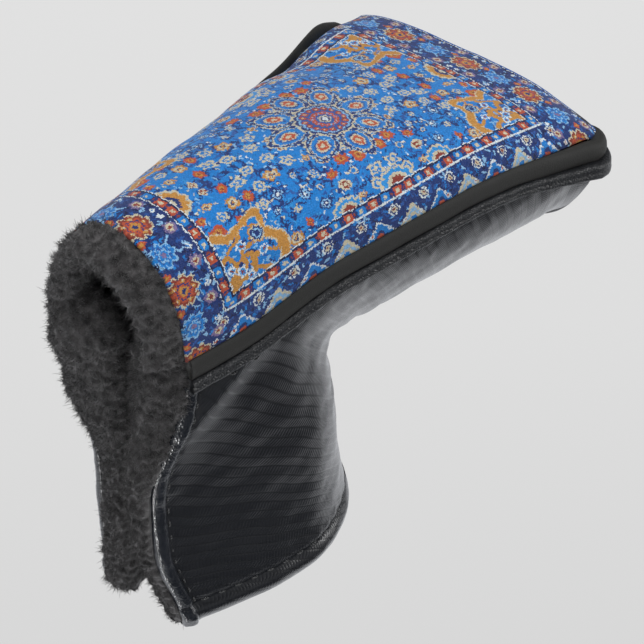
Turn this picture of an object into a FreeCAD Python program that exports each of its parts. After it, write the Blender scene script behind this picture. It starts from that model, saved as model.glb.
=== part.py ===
import FreeCAD, Part
import math
import os

from FreeCAD import Vector

# Blade putter head cover: an L-shaped boot of sewn layers, open along its heel side.
#
# Frame: millimetres, +X from heel to toe, +Y to the back, +Z up (the way the putter's sole faces when
# the club stands head up). The origin is where the shaft's axis crosses the plane of the neck's hem.
# The cover is symmetric about the XZ plane, so the back half is the front half mirrored.
#
# Every sewn layer is a patch of one of a few smooth maps (neck, body, top, toe) between two depths
# below the outer surface. The side layers are cut by the fold plane into a fixed part and a flap.

# ---------------------------------------------------------------- driving dimensions, mm
HEEL_X = -37.5          # free edge of the outer panels, on the heel side
TOE_X = 92.5            # where the side panels meet the toe panel
TRIM_HEEL_Z = 90.0      # line where the printed panel ends, at the heel
TRIM_TOE_Z = 87.4       # the same at the toe
HEEL_HALF = 19.1        # half width of the body at the heel, on the trim line
TOE_HALF = 38.5         # the same at the toe
HEEL_RISE = 27.8        # height of the printed arch above the trim line, at the heel
MID_RISE = 21.5         # the same half way
TOE_RISE = 6.2          # the same at the toe
ARCH_POWER = 2.14       # superellipse power of the printed arch
SEAM_Z = 55.5           # seam under the body
SPINE_HEM_X = 24.6      # seam on the toe side of the neck, at the hem
SPINE_TOP_X = 19.0      # the same where it turns into the underside
INNER_RADIUS = 13.0     # turn between the neck and the underside
ROUND_DEPTH = 25.0      # how far in from the seam the side panels are still curving
ROUND_POWER = 2.2       # superellipse power of that curve
HEM_HALF = 25.2         # half width of the neck at the hem, where it is widest
HEM_HEEL_HALF = 16.9    # the same at the heel edge
HEM_WIDEST = 40.0       # distance from the heel edge to the widest place
NECK_PINCH = 2.0        # how much the heel edges draw in half way down the neck
TOE_BULGE = 5.0         # how far the toe panel domes out past the side panels

# layers, as depths below the outer surface
PRINT = (0.0, 0.8)
TOP_FOAM = (1.0, 2.9)
TOP_FLEECE = (3.1, 8.6)
LEATHER = (0.0, 1.2)
SEAM_TAPE = (1.35, 1.75)
FOAM = (1.95, 3.95)
FLEECE = (4.15, 9.0)
HEM_FACING = (1.4, 1.8)

# bands under the printed panel, as drops below the trim line
TRIM_BAND = (0.2, 3.9)
WELT_BAND = (4.1, 6.8)
PANEL_DROP = 7.0
LINING_DROP = 0.3
TRIM_PROUD = 1.0        # how far the trim band stands out past the side panels
WELT_PROUD = 1.6        # the same for the welt
BAND_DEPTH = 1.2        # how far both bands reach in
TOE_GAP = 0.15          # between the ends of the side panels and the toe pieces
TOE_SHARE = 1.15        # how quickly the toe panel's lower edge drops from its corners
TOE_LEAST = 4.0         # height of the toe panel at its corners
PLATE_GAP = 0.1         # between the lining's toe plates and the layers next to them
LINING_SETBACK = 2.5    # the lining ends this far before the side panels do
TOE_FOAM_THICK = 2.1
TOE_FLEECE_THICK = 4.8
TOE_FLEECE_INSET = 1.3  # how far the toe fleece stays inside the side fleece's inner face

# heel opening, hem and closure
FLEECE_REACH = 8.0      # how far the fleece stands out of the heel opening
EDGE_FOLD = 3.0         # width of the bound edge
HEM_FOLD = 4.5          # height of the turned hem
ROLL_HALF_TOP = 8.7     # half thickness of the fleece roll at the top of the opening
ROLL_HALF_HEM = 5.2     # the same at the hem
ROLL_GAP = 0.3          # between the roll and the edge of the leather
ROLL_INSET = 0.6        # how far the roll stays inside the outer face of the leather
FOLD_TOP = (-37.5, 75.0)        # where the flap's fold line meets the heel edge (x, z)
FOLD_HEM = (14.0, 0.0)          # where it meets the hem
FOLD_OUT_TOP = 20.9             # distance of the fold's axis from the XZ plane at those two places
FOLD_OUT_HEM = 26.5
FOLD_GAP_DEG = 5.0              # half angle of the relief on the inner side of the fold
FACING_END = 0.96               # the hem facing stops at this share of the way to the seam
BINDING = (0.1, 0.9)            # how far the binding's two faces stand out past the panel
MAGNET_RADIUS = 6.0
MAGNET_THICK = 1.2
MAGNET_PLACES = ((-28.5, 18.0), (-28.5, 42.0))      # their middles (x, z)
POCKET_MARGIN = 1.5             # between a magnet and the wall of its pocket in the foam
STITCH_RADIUS = 0.3
STITCH_LENGTH = 2.4
STITCH_LIFT = 0.4               # how far the threads' middles stand out past the leather
WELT_STITCH_DROP = 6.2          # drop of the welt's row of stitches below the trim line
EDGE_STITCH_SETBACK = 3.9       # how far the edge's row of stitches is from the heel edge
HEM_STITCH_PITCH = 5.0
EDGE_STITCH_PITCH = 4.2
WELT_STITCH_PITCH = 7.0
SEAM_GAP = 0.08                 # each half of a sewn seam stops this far from the middle plane
TAPE_START = 0.86               # where the seam tape begins, as a share of the way down a panel

LENGTH = TOE_X - HEEL_X
TURN_X = SPINE_TOP_X + INNER_RADIUS
TURN_Z = SEAM_Z - INNER_RADIUS
FOOT_Z = -8.0                   # the neck is shaped down to here, then cut off level at the hem
NECK_TOP_REACH = 18.0           # where the neck's part of a side panel ends, along the trim line
RISE_BOW = 2 * (HEEL_RISE + TOE_RISE - 2 * MID_RISE) / LENGTH ** 2
RISE_SLOPE = (TOE_RISE - HEEL_RISE - RISE_BOW * LENGTH ** 2) / LENGTH
BIG = 400.0


# ---------------------------------------------------------------- the shape
def trim_z(x):
    """Height of the line where the printed panel ends."""
    return TRIM_HEEL_Z + (TRIM_TOE_Z - TRIM_HEEL_Z) * (x - HEEL_X) / LENGTH


def body_half(x):
    """Half width of the body on the trim line."""
    return HEEL_HALF + (TOE_HALF - HEEL_HALF) * (x - HEEL_X) / LENGTH


def arch_rise(x):
    """Height of the printed arch above the trim line."""
    s = x - HEEL_X
    return HEEL_RISE + RISE_SLOPE * s + RISE_BOW * s * s


def hem_half(x):
    """Half width of the neck at the hem, before its rounding towards the seam."""
    s = x - HEEL_X
    if s >= HEM_WIDEST:
        return HEM_HALF
    return HEM_HALF - (HEM_HALF - HEM_HEEL_HALF) * ((HEM_WIDEST - s) / HEM_WIDEST) ** 1.4


def panel_half(x, z):
    """Half width of the side panels, before their rounding towards the seam."""
    up = min(z / TRIM_HEEL_Z, 1.0)
    s = min(max((x - HEEL_X) / HEM_WIDEST, 0.0), 1.0)
    blend = min(max((x - SPINE_TOP_X) / (TOE_X - SPINE_TOP_X), 0.0), 1.0)
    low = hem_half(x) * (1 - blend) + body_half(x) * blend
    pinch = NECK_PINCH * (1 - s) * math.sin(math.pi * up)
    return low * (1 - up) + body_half(x) * up - pinch


def spine_x(z):
    """X of the seam on the toe side of the neck."""
    return SPINE_TOP_X + (SPINE_HEM_X - SPINE_TOP_X) * max(0.0, 1 - z / TURN_Z) ** 1.5


def from_seam(x, z):
    """Distance in side view from the seam that closes the neck and the underside."""
    if z < TURN_Z:
        return spine_x(z) - x
    if x > TURN_X:
        return z - SEAM_Z
    return math.hypot(x - TURN_X, z - TURN_Z) - INNER_RADIUS


def side_half(x, z, depth):
    """Half width at (x, z) of the surface that lies depth below the outer one."""
    inward = min(max((from_seam(x, z) - depth) / ROUND_DEPTH, 0.0), 1.0)
    rounded = (1 - (1 - inward) ** ROUND_POWER) ** (1 / ROUND_POWER)
    return (panel_half(x, z) - depth) * rounded


def seam_point(t, depth):
    """Point of the seam in side view: t runs 0 to 1 from below the hem to the toe."""
    spine = TURN_Z - FOOT_Z
    turn = math.pi / 2 * INNER_RADIUS
    run = t * (spine + turn + TOE_X - TURN_X)
    if run < spine:
        return spine_x(FOOT_Z + run) - depth, FOOT_Z + run
    if run < spine + turn:
        angle = math.pi - (run - spine) / INNER_RADIUS
        r = INNER_RADIUS + depth
        return TURN_X + r * math.cos(angle), TURN_Z + r * math.sin(angle)
    return TURN_X + run - spine - turn, SEAM_Z + depth


def ease(v):
    """Places grid lines closer together towards the seam, where the panels curve most."""
    return 1 - (1 - v) ** ROUND_POWER


def side_point(x, z, depth):
    return Vector(x, -max(side_half(x, z, depth), SEAM_GAP), z)


def between(top_x, drop, end_x, end_z, q, depth):
    """Point of the front side at share q of the way from the trim line to a lower point."""
    top = trim_z(top_x) - drop
    return side_point(top_x * (1 - q) + end_x * q, top * (1 - q) + end_z * q, depth)


def neck_map(drop):
    """Front side of the neck. u runs along the hem, v from the top to a little below the hem."""
    def at(u, v, depth):
        end_x = HEEL_X + (spine_x(FOOT_Z) - depth - HEEL_X) * ease(u)
        near = u ** 4
        share = v * (1 - near) + ease(v) * near
        return between(HEEL_X + NECK_TOP_REACH * u, drop, end_x, FOOT_Z, share, depth)
    return at


def body_map(drop):
    """Front side above the seam, from the neck to the toe."""
    first = HEEL_X + NECK_TOP_REACH

    def at(u, v, depth):
        end_x, end_z = seam_point(u, depth)
        return between(first + (TOE_X - first) * (0.3 * u + 0.7 * u * u), drop, end_x, end_z, ease(v), depth)
    return at


def top_map(u, v, depth):
    """Printed arch. u runs from the heel to the toe, v from the front edge to the back edge."""
    x = HEEL_X + LENGTH * u
    angle = math.pi * v
    power = 2 / ARCH_POWER
    across = math.copysign(abs(math.cos(angle)) ** power, math.cos(angle))
    up = abs(math.sin(angle)) ** power
    rise = arch_rise(x)
    rise *= math.exp(-depth / rise)             # the layers thin out where the arch is low
    return Vector(x, -(body_half(x) - depth) * across, trim_z(x) + rise * up)


def band_map(u, v, depth):
    """Strip along the front trim line. v is the drop below that line."""
    x = HEEL_X + LENGTH * u
    return Vector(x, -(body_half(x) - depth), trim_z(x) - v)


def toe_band_map(u, v, depth):
    """Strip below the toe edge of the arch. Depth runs outwards from the ends of the side panels."""
    edge = top_map(1.0, u, 0.0)
    return Vector(TOE_X + TOE_GAP + depth, edge.y, edge.z - v)


def toe_map(u, v, depth):
    """Toe panel. u runs from the front edge to the back edge, v from the welt down to the seam."""
    side = 2 * u - 1
    edge = top_map(1.0, u, 0.0)
    low = TRIM_TOE_Z - SEAM_Z - depth
    inward = min((1 - abs(side)) * TOE_SHARE, 1.0)
    fall = low * (1 - (1 - inward) ** ROUND_POWER) ** (1 / ROUND_POWER)
    start_z = edge.z - PANEL_DROP
    end_z = min(TRIM_TOE_Z - fall, start_z - TOE_LEAST)
    y = edge.y * (1 - v) + (TOE_HALF - depth) * side * v
    dome = (1 - abs(side) ** 3) * math.sin(math.pi * (0.12 + 0.88 * v)) ** 0.8
    x = TOE_X + TOE_GAP + BAND_DEPTH - depth + TOE_BULGE * dome
    return Vector(x, y, start_z * (1 - v) + end_z * v)


# ---------------------------------------------------------------- solids
def fitted(points):
    """Curve through points, with an equal step of its parameter from each point to the next."""
    count = len(points)
    curve = Part.BSplineCurve()
    curve.interpolate(Points=points, Parameters=[i / (count - 1) for i in range(count)])
    return curve


def surface(at, us, vs, depth):
    """Surface through at(u, v, depth), with the same steps on every edge, so neighbours match."""
    rows = [fitted([at(u, v, depth) for v in vs]) for u in us]
    poles = [row.getPoles() for row in rows]
    columns = [fitted([row[j] for row in poles]) for j in range(len(poles[0]))]
    grid = [list(line) for line in zip(*[column.getPoles() for column in columns])]
    made = Part.BSplineSurface()
    made.buildFromPolesMultsKnots(
        grid, columns[0].getMultiplicities(), rows[0].getMultiplicities(),
        columns[0].getKnots(), rows[0].getKnots(), False, False, 3, 3)
    return made


def closed(faces):
    """Solid inside a set of faces that meet along their edges."""
    shell = Part.makeShell(faces)
    shell.sewShape()
    solid = Part.makeSolid(shell)
    if solid.Volume < 0:
        solid.reverse()
    return solid


def layer_faces(at, depths, us, vs, open_start=False, open_end=False):
    """Faces round the layer between two depths of a map; its u ends can be left open."""
    outer = surface(at, us, vs, depths[0])
    inner = surface(at, us, vs, depths[1])
    sides = [(outer.vIso(0.0), inner.vIso(0.0)), (outer.vIso(1.0), inner.vIso(1.0))]
    if not open_start:
        sides.append((outer.uIso(0.0), inner.uIso(0.0)))
    if not open_end:
        sides.append((outer.uIso(1.0), inner.uIso(1.0)))
    walls = [Part.makeRuledSurface(a.toShape(), b.toShape()) for a, b in sides]
    return [outer.toShape(), inner.toShape()] + walls


def steps(low, high, count):
    return [low + (high - low) * i / (count - 1) for i in range(count)]


def layer(at, depths, us, vs):
    return closed(layer_faces(at, depths, us, vs))


def mirrored(shape):
    """The same piece on the back."""
    return shape.mirror(Vector(0, 0, 0), Vector(0, 1, 0))


def beyond(axis, value, keep_below):
    """Everything on one side of a plane across an axis."""
    corner = Vector(-BIG / 2, -BIG / 2, -BIG / 2)
    corner[axis] = value if not keep_below else value - BIG
    return Part.makeBox(BIG, BIG, BIG, corner)


def fold_axis():
    """Two points on the front flap's fold axis."""
    top = Vector(FOLD_TOP[0], -FOLD_OUT_TOP, FOLD_TOP[1])
    hem = Vector(FOLD_HEM[0], -FOLD_OUT_HEM, FOLD_HEM[1])
    return top, hem


def fold_block(flap_side):
    """Everything on one side of the fold plane. The plane holds the fold axis and is turned a little
    about it, away from the side it keeps, so the inner layers never touch across the fold."""
    top, hem = fold_axis()
    along = (hem - top).normalize()
    inward = Vector(0, 1, 0)
    inward = (inward - along * inward.dot(along)).normalize()
    away = along.cross(inward).normalize()
    if away.x > 0:
        away = away * -1
    side = 1 if flap_side else -1
    tilt = math.radians(FOLD_GAP_DEG)
    normal = away * side * math.cos(tilt) - inward * math.sin(tilt)
    block = Part.makeBox(BIG, BIG, BIG, Vector(-BIG / 2, -BIG / 2, 0))
    block.Placement = FreeCAD.Placement((top + hem) * 0.5, FreeCAD.Rotation(Vector(0, 0, 1), normal))
    return block


def split_at_fold(shape):
    """(fixed part, flap) of a front layer."""
    return shape.common(fold_block(False)), shape.common(fold_block(True))


def side_normal(x, z):
    """Outward unit normal of the front panel at (x, z)."""
    step = 0.2
    dx = (side_half(x + step, z, 0) - side_half(x - step, z, 0)) / (2 * step)
    dz = (side_half(x, z + step, 0) - side_half(x, z - step, 0)) / (2 * step)
    return Vector(-dx, -1, -dz).normalize()


def disc(place, radius, low, high):
    """Round plate lying along the front panel between two depths."""
    x, z = place
    normal = side_normal(x, z)
    base = Vector(x, -side_half(x, z, 0), z) - normal * high
    return Part.makeCylinder(radius, high - low, base, normal)


def thread(points):
    """Round stitches, each centred on a point and lying along the line of points."""
    made = []
    for before, here, after in zip(points, points[1:], points[2:]):
        along = (after - before).normalize()
        start = here - along * (STITCH_LENGTH / 2)
        made.append(Part.makeCylinder(STITCH_RADIUS, STITCH_LENGTH, start, along))
    return Part.makeCompound(made)


def section_points(x, depth, rows=30):
    """Outline of the closed body at x, seen along X, inset by depth."""
    u = (x - HEEL_X) / LENGTH
    upper = [top_map(u, 0.03 + 0.94 * i / (rows - 1), depth) for i in range(rows)]
    top = trim_z(x) - 1.5
    right = []
    for i in range(rows):
        z = SEAM_Z + depth + (top - SEAM_Z - depth) * (1 - ease(i / (rows - 1)))
        right.append(Vector(x, side_half(x, z, depth), z))
    right[-1] = Vector(x, 0, SEAM_Z + depth)
    left = [Vector(x, -p.y, p.z) for p in reversed(right[:-1])]
    return upper + right + left


def toe_plate(near_x, thick, depth):
    """Flat plate across the toe end of the lining."""
    points = [Vector(near_x, p.y, p.z) for p in section_points(TOE_X, depth)]
    face = Part.Face(Part.makePolygon(points + points[:1]))
    return face.extrude(Vector(thick, 0, 0))


# ---------------------------------------------------------------- the pieces
def side_layer(depths, drop):
    """One front layer of the side, from the heel edge to the toe, as a single solid."""
    vs = steps(0.0, 1.0, 17)
    neck = layer_faces(neck_map(drop), depths, steps(0.0, 1.0, 19), vs, open_end=True)
    body = layer_faces(body_map(drop), depths, steps(0.0, 1.0, 29), vs, open_start=True)
    return closed(neck + body).cut(beyond(2, 0.0, True))


def fleece_roll():
    """The front roll of fleece that stands out of the heel opening, from the hem to the trim line."""
    wires = []
    for z in steps(0.4, TRIM_HEEL_Z - 3.0, 9):
        up = z / TRIM_HEEL_Z
        half = ROLL_HALF_HEM + (ROLL_HALF_TOP - ROLL_HALF_HEM) * up
        outer = side_half(HEEL_X, z, 0) - ROLL_INSET
        points = []
        for j in range(24):
            angle = 2 * math.pi * j / 24
            x = HEEL_X - ROLL_GAP - FLEECE_REACH / 2 * (1 - math.sin(angle))
            points.append(Vector(x, half - outer + half * math.cos(angle), z))
        curve = Part.BSplineCurve()
        curve.interpolate(Points=points, PeriodicFlag=True)
        wires.append(Part.Wire(curve.toShape()))
    return Part.makeLoft(wires, True)


def edge_binding():
    """Leather strip that wraps the front heel edge, standing just proud of the panel."""
    def at(u, v, depth):
        return Vector(v, -side_half(v, u, 0) - depth, u)
    high = trim_z(HEEL_X) - PANEL_DROP
    return layer(at, BINDING, steps(0.2, high - 0.2, 18), steps(HEEL_X, HEEL_X + EDGE_FOLD, 5))


def hem_facing():
    """Inner turn of the hem, between the leather and the lining."""
    def at(u, v, depth):
        x = HEEL_X + (spine_x(v) - depth - HEEL_X) * ease(u) * FACING_END
        return side_point(x, v, depth)
    return layer(at, HEM_FACING, steps(0.05, 1.0, 19), steps(0.1, HEM_FOLD, 5))


def hem_thread_points():
    points = []
    count = 220
    for i in range(count):
        x = HEEL_X + (SPINE_HEM_X - HEEL_X) * ease(0.04 + 0.92 * i / (count - 1))
        out = side_normal(x, HEM_FOLD) * STITCH_LIFT
        points.append(Vector(x, -side_half(x, HEM_FOLD, 0), HEM_FOLD) + out)
    return spaced(points, HEM_STITCH_PITCH)


def spaced(points, pitch):
    """Every point that lies another pitch along the line of points."""
    kept = [points[0]]
    run = 0.0
    for a, b in zip(points, points[1:]):
        run += a.distanceToPoint(b)
        if run >= pitch:
            kept.append(b)
            run = 0.0
    return kept


def edge_thread_points():
    x = HEEL_X + EDGE_STITCH_SETBACK
    high = trim_z(HEEL_X) - PANEL_DROP - 2.0
    heights = steps(2.0, high, 160)
    line = [Vector(x, -side_half(x, z, 0), z) + side_normal(x, z) * STITCH_LIFT for z in heights]
    return spaced(line, EDGE_STITCH_PITCH)


def build():
    parts = {}

    def both(name, front):
        """Adds a front piece and its mirror image on the back."""
        parts["front_" + name] = front
        parts["back_" + name] = mirrored(front)

    across = steps(0.0, 1.0, 25)
    lining_end = TOE_X - LINING_SETBACK
    fleece_low = -FLEECE_REACH / LENGTH

    # printed top and its layers
    parts["printed_top_panel"] = layer(top_map, PRINT, steps(0.0, 1.0, 18), across)
    end = (lining_end - HEEL_X) / LENGTH
    parts["top_foam"] = layer(top_map, TOP_FOAM, steps(0.01, end, 16), across)
    parts["top_fleece_lining"] = layer(top_map, TOP_FLEECE, steps(fleece_low, end, 18), across)

    # bands along the front and back, and round the toe
    along = steps(0.0, 1.0, 14)
    both("trim_band", layer(band_map, (-TRIM_PROUD, BAND_DEPTH), along, steps(*TRIM_BAND, 5)))
    both("welt", layer(band_map, (-WELT_PROUD, BAND_DEPTH), along, steps(*WELT_BAND, 5)))
    toe_out = BAND_DEPTH + TRIM_PROUD
    parts["toe_trim_band"] = layer(toe_band_map, (toe_out, 0.0), across, steps(*TRIM_BAND, 5))
    parts["toe_welt"] = layer(toe_band_map, (toe_out + WELT_PROUD - TRIM_PROUD, 0.0), across,
                              steps(*WELT_BAND, 5))

    # side panels: a fixed part and a flap from one cut of leather
    panel, flap = split_at_fold(side_layer(LEATHER, PANEL_DROP))
    both("side_panel", panel)
    both("flap_panel", flap)
    inner = side_layer(FOAM, LINING_DROP).cut(beyond(0, lining_end, False))
    foam, flap_foam = split_at_fold(inner)
    pocket = MAGNET_RADIUS + POCKET_MARGIN
    pouch = [disc(p, pocket, FOAM[0] - 1, FOAM[1] + 1) for p in MAGNET_PLACES]
    flap_foam = flap_foam.cut(Part.makeCompound(pouch))
    both("side_foam", foam)
    both("flap_foam", flap_foam)
    inner = side_layer(FLEECE, LINING_DROP).cut(beyond(0, lining_end, False))
    fleece, flap_fleece = split_at_fold(inner)
    both("side_fleece", fleece)
    both("flap_fleece", flap_fleece)
    collar, roll = split_at_fold(fleece_roll())
    both("collar_fleece", collar)
    both("flap_fleece_roll", roll)

    # toe
    parts["toe_panel"] = layer(toe_map, (0.0, BAND_DEPTH), steps(0.0, 1.0, 25), steps(0.0, 1.0, 9))
    parts["toe_foam"] = toe_plate(lining_end + PLATE_GAP, TOE_FOAM_THICK, SEAM_TAPE[1] + PLATE_GAP)
    near = lining_end - TOE_FLEECE_THICK - PLATE_GAP
    parts["toe_fleece"] = toe_plate(near, TOE_FLEECE_THICK, FLEECE[1] + TOE_FLEECE_INSET)

    # seam tape, hem facing, edge binding
    def tape_map(u, v, depth):
        return body_map(PANEL_DROP)(u, TAPE_START + (1 - TAPE_START) * v, depth)

    tape = layer(tape_map, SEAM_TAPE, steps(0.1, 0.99, 31), steps(0.0, 1.0, 7))
    both("seam_tape", tape)
    facing, flap_facing = split_at_fold(hem_facing())
    both("hem_facing", facing)
    both("flap_hem_facing", flap_facing)
    both("edge_binding", edge_binding().common(fold_block(True)))

    # threads
    places = steps(0.01, 0.99, int(LENGTH / WELT_STITCH_PITCH))
    welt_line = [band_map(u, WELT_STITCH_DROP, -WELT_PROUD - STITCH_LIFT) for u in places]
    both("welt_stitches", thread(welt_line))
    both("hem_stitches", hem_thread(False))
    both("flap_hem_stitches", hem_thread(True))
    both("flap_edge_stitches", thread_on_flap(edge_thread_points()))

    # magnets in fabric pouches, set into the flap's foam
    mid = (FOAM[0] + FOAM[1]) / 2
    half = MAGNET_THICK / 2
    magnets = [disc(p, MAGNET_RADIUS, mid - half, mid + half) for p in MAGNET_PLACES]
    both("flap_magnets", Part.makeCompound(magnets))
    return parts


def on_flap(point):
    """Whether a point belongs to the flap's side of the fold."""
    return fold_block(True).isInside(point, 0.001, True)


def hem_thread(flap):
    points = [p for p in hem_thread_points() if on_flap(p) == flap]
    return thread(points)


def thread_on_flap(points):
    return thread([p for p in points if on_flap(p + Vector(0, 0, STITCH_LENGTH))])


def main():
    os.makedirs("parts", exist_ok=True)
    for name, shape in build().items():
        if len(shape.Solids) == 1:
            shape = shape.Solids[0]
        shape.exportStep(os.path.join("parts", name + ".step"))
        print(name, len(shape.Solids), round(shape.Volume / 1000, 2), shape.isValid())
    top, hem = fold_axis()
    print("fold axis", top, (hem - top).normalize())


main()
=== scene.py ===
import math

import bpy
import numpy as np
from mathutils import Matrix, Vector, kdtree, noise


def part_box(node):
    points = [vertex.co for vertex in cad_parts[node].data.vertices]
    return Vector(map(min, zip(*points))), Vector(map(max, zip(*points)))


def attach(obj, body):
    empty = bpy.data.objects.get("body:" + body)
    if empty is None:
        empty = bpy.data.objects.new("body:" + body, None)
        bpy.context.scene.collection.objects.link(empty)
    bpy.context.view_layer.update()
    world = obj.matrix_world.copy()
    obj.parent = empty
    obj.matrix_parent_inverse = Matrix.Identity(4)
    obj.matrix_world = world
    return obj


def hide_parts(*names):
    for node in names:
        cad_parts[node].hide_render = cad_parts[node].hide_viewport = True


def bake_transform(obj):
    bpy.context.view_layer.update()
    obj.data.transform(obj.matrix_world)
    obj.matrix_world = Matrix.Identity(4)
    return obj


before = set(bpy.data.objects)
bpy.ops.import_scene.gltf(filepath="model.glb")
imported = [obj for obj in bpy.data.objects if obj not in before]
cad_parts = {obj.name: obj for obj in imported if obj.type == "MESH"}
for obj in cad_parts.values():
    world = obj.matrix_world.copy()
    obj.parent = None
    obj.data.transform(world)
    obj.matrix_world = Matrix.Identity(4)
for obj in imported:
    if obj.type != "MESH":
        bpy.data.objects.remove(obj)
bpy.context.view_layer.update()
MM = 0.001
TURN = 2 * math.pi


# ------------------------------------------------------------ sizes, in millimetres, from the frame
def node_box(name):
    low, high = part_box(name)
    return np.array(low) / MM, np.array(high) / MM


TOP_LOW, TOP_HIGH = node_box("printed_top_panel")
BAND_LOW, BAND_HIGH = node_box("front_trim_band")
HEEL_X, TOE_X = TOP_LOW[0], TOP_HIGH[0]
LENGTH = TOE_X - HEEL_X
# the trim line, between the printed arch and the side panels
TRIM_HEEL_Z = BAND_HIGH[2] + 0.2
TRIM_TOE_Z = BAND_LOW[2] + 3.9
TRIM_TALL = 5.4
WELT_TALL = 3.6
PANEL_DROP = 8.2
RIM_BOW = 5.0
CORNER = 4.0
# the arch of the print
TOE_HALF = TOP_HIGH[1]
HEEL_HALF = 1.2 - BAND_HIGH[1]
HEEL_RISE = TOP_HIGH[2] - TRIM_HEEL_Z
MID_RISE = 21.5
TOE_RISE = 6.2
ARCH_POWER = 2.14
ARCH_WIDTH = 78.0
RISE_BOW = 2 * (HEEL_RISE + TOE_RISE - 2 * MID_RISE) / LENGTH ** 2
RISE_SLOPE = (TOE_RISE - HEEL_RISE - RISE_BOW * LENGTH ** 2) / LENGTH
# the seam down the neck and under the body, and how the sides round off towards it
SEAM_Z = 51.8
SPINE_HEM_X = 29.2
SPINE_TOP_X = 21.9
INNER_RADIUS = 4.5
CORNER_POWER = 4.5
ROUND_DEPTH = 30.0
ROUND_POWER = 2.0
TURN_X = SPINE_TOP_X + INNER_RADIUS
TURN_Z = SEAM_Z - INNER_RADIUS
FOOT_Z = -8.0
# the neck
HEM_HALF = 25.2
HEM_HEEL_HALF = 16.9
HEM_WIDEST = 40.0
NECK_PINCH = 2.0
# the sewn lines and the fold of a flap
HEM_LINE = 6.2
EDGE_LINE = 3.4
FOLD_TOP = np.array([-37.5, -20.9, 75.0])
FOLD_HEM = np.array([14.0, -26.5, 0.0])
FOLD_REACH = 11.0
# the point that the rows of the embossing run round
GRAIN_X, GRAIN_Z, GRAIN_REACH = 122.0, -56.0, 150.0
# seeds of the soft unevenness of the two leather sides
RELIEF_SEED = {"front": 1, "back": 5}
# spacing, height and fibre length of the fleece
CURL_SPACING = 2.2
CURL_HEIGHT = 0.8
PILE_LENGTH = 1.25


# ------------------------------------------------------------ the outer shape
def smooth_step(v, low, high):
    t = np.clip((v - low) / (high - low), 0, 1)
    return t * t * (3 - 2 * t)


def hump(v, centre, width):
    return np.exp(-((v - centre) / width) ** 2)


def ease(v):
    return 1 - (1 - v) ** ROUND_POWER


def unit(vectors, least=0.0):
    """Rows of vectors at length 1; `least` guards against a length of zero."""
    return vectors / np.maximum(np.linalg.norm(vectors, axis=-1, keepdims=True), least)


def rim_lift(x):
    """How much the padded rim bows up between its ends."""
    return RIM_BOW * smooth_step(x, -26, 8) * smooth_step(x, 94, 46)


def trim_z(x):
    return TRIM_HEEL_Z + (TRIM_TOE_Z - TRIM_HEEL_Z) * (x - HEEL_X) / LENGTH + rim_lift(x)


def body_half(x):
    return HEEL_HALF + (TOE_HALF - HEEL_HALF) * (x - HEEL_X) / LENGTH


def arch_rise(x):
    s = x - HEEL_X
    return HEEL_RISE + RISE_SLOPE * s + RISE_BOW * s * s - rim_lift(x)


def hem_half(x):
    left = np.clip(HEM_WIDEST - (x - HEEL_X), 0, None) / HEM_WIDEST
    return HEM_HALF - (HEM_HALF - HEM_HEEL_HALF) * left ** 1.4


def panel_half(x, z):
    """Half width of the padded body, away from its seam."""
    up = np.minimum(z / TRIM_HEEL_Z, 1.0)
    s = np.clip((x - HEEL_X) / HEM_WIDEST, 0, 1)
    mix = np.clip((x - SPINE_TOP_X) / (TOE_X - SPINE_TOP_X), 0, 1)
    low = hem_half(x) * (1 - mix) + body_half(x) * mix
    return low * (1 - up) + body_half(x) * up - NECK_PINCH * (1 - s) * np.sin(np.pi * up)


def spine_x(z):
    return SPINE_TOP_X + (SPINE_HEM_X - SPINE_TOP_X) * np.clip(1 - z / TURN_Z, 0, None) ** 1.5


def from_seam(x, z):
    """Distance in side view from the seam of the neck and the underside."""
    reach = np.abs(x - TURN_X) ** CORNER_POWER + np.abs(z - TURN_Z) ** CORNER_POWER
    corner = reach ** (1 / CORNER_POWER) - INNER_RADIUS
    return np.where(z < TURN_Z, spine_x(z) - x, np.where(x > TURN_X, z - SEAM_Z, corner))


def round_depth(x, z):
    """How far from the seam the side starts to turn in: farther round the inner turn."""
    return ROUND_DEPTH + 14.5 * np.exp(-((x - 10) / 24) ** 2 - ((z - 68) / 19) ** 2)


def side_half(x, z, depth=0.0):
    inward = np.clip((from_seam(x, z) - depth) / round_depth(x, z), 0, 1)
    return (panel_half(x, z) - depth) * (1 - (1 - inward) ** ROUND_POWER) ** (1 / ROUND_POWER)


def seam_point(t):
    """Point of the seam in side view, t from 0 below the hem to 1 at the toe."""
    spine = TURN_Z - FOOT_Z
    turn = math.pi / 2 * INNER_RADIUS
    run = t * (spine + turn + TOE_X - TURN_X)
    angle = math.pi - (run - spine) / INNER_RADIUS
    side = -INNER_RADIUS * np.abs(np.cos(angle)) ** (2 / CORNER_POWER)
    over = INNER_RADIUS * np.abs(np.sin(angle)) ** (2 / CORNER_POWER)
    x = np.where(run < spine, spine_x(FOOT_Z + run),
                 np.where(run < spine + turn, TURN_X + side, TURN_X + run - spine - turn))
    z = np.where(run < spine, FOOT_Z + run, np.where(run < spine + turn, TURN_Z + over, SEAM_Z))
    return x, z


def arch_point(u, v, depth=0.0):
    """Printed arch: u from heel to toe, v from 0 at the front edge to 1 at the back edge."""
    x = HEEL_X + LENGTH * u
    power = 2 / ARCH_POWER
    c, s = np.cos(np.pi * v), np.abs(np.sin(np.pi * v))
    rise = arch_rise(x)
    rise = rise * np.exp(-depth / rise)
    y = -(body_half(x) - depth) * np.sign(c) * np.abs(c) ** power
    return np.stack([x + 0 * v, y, trim_z(x) + rise * s ** power], -1)


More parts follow.
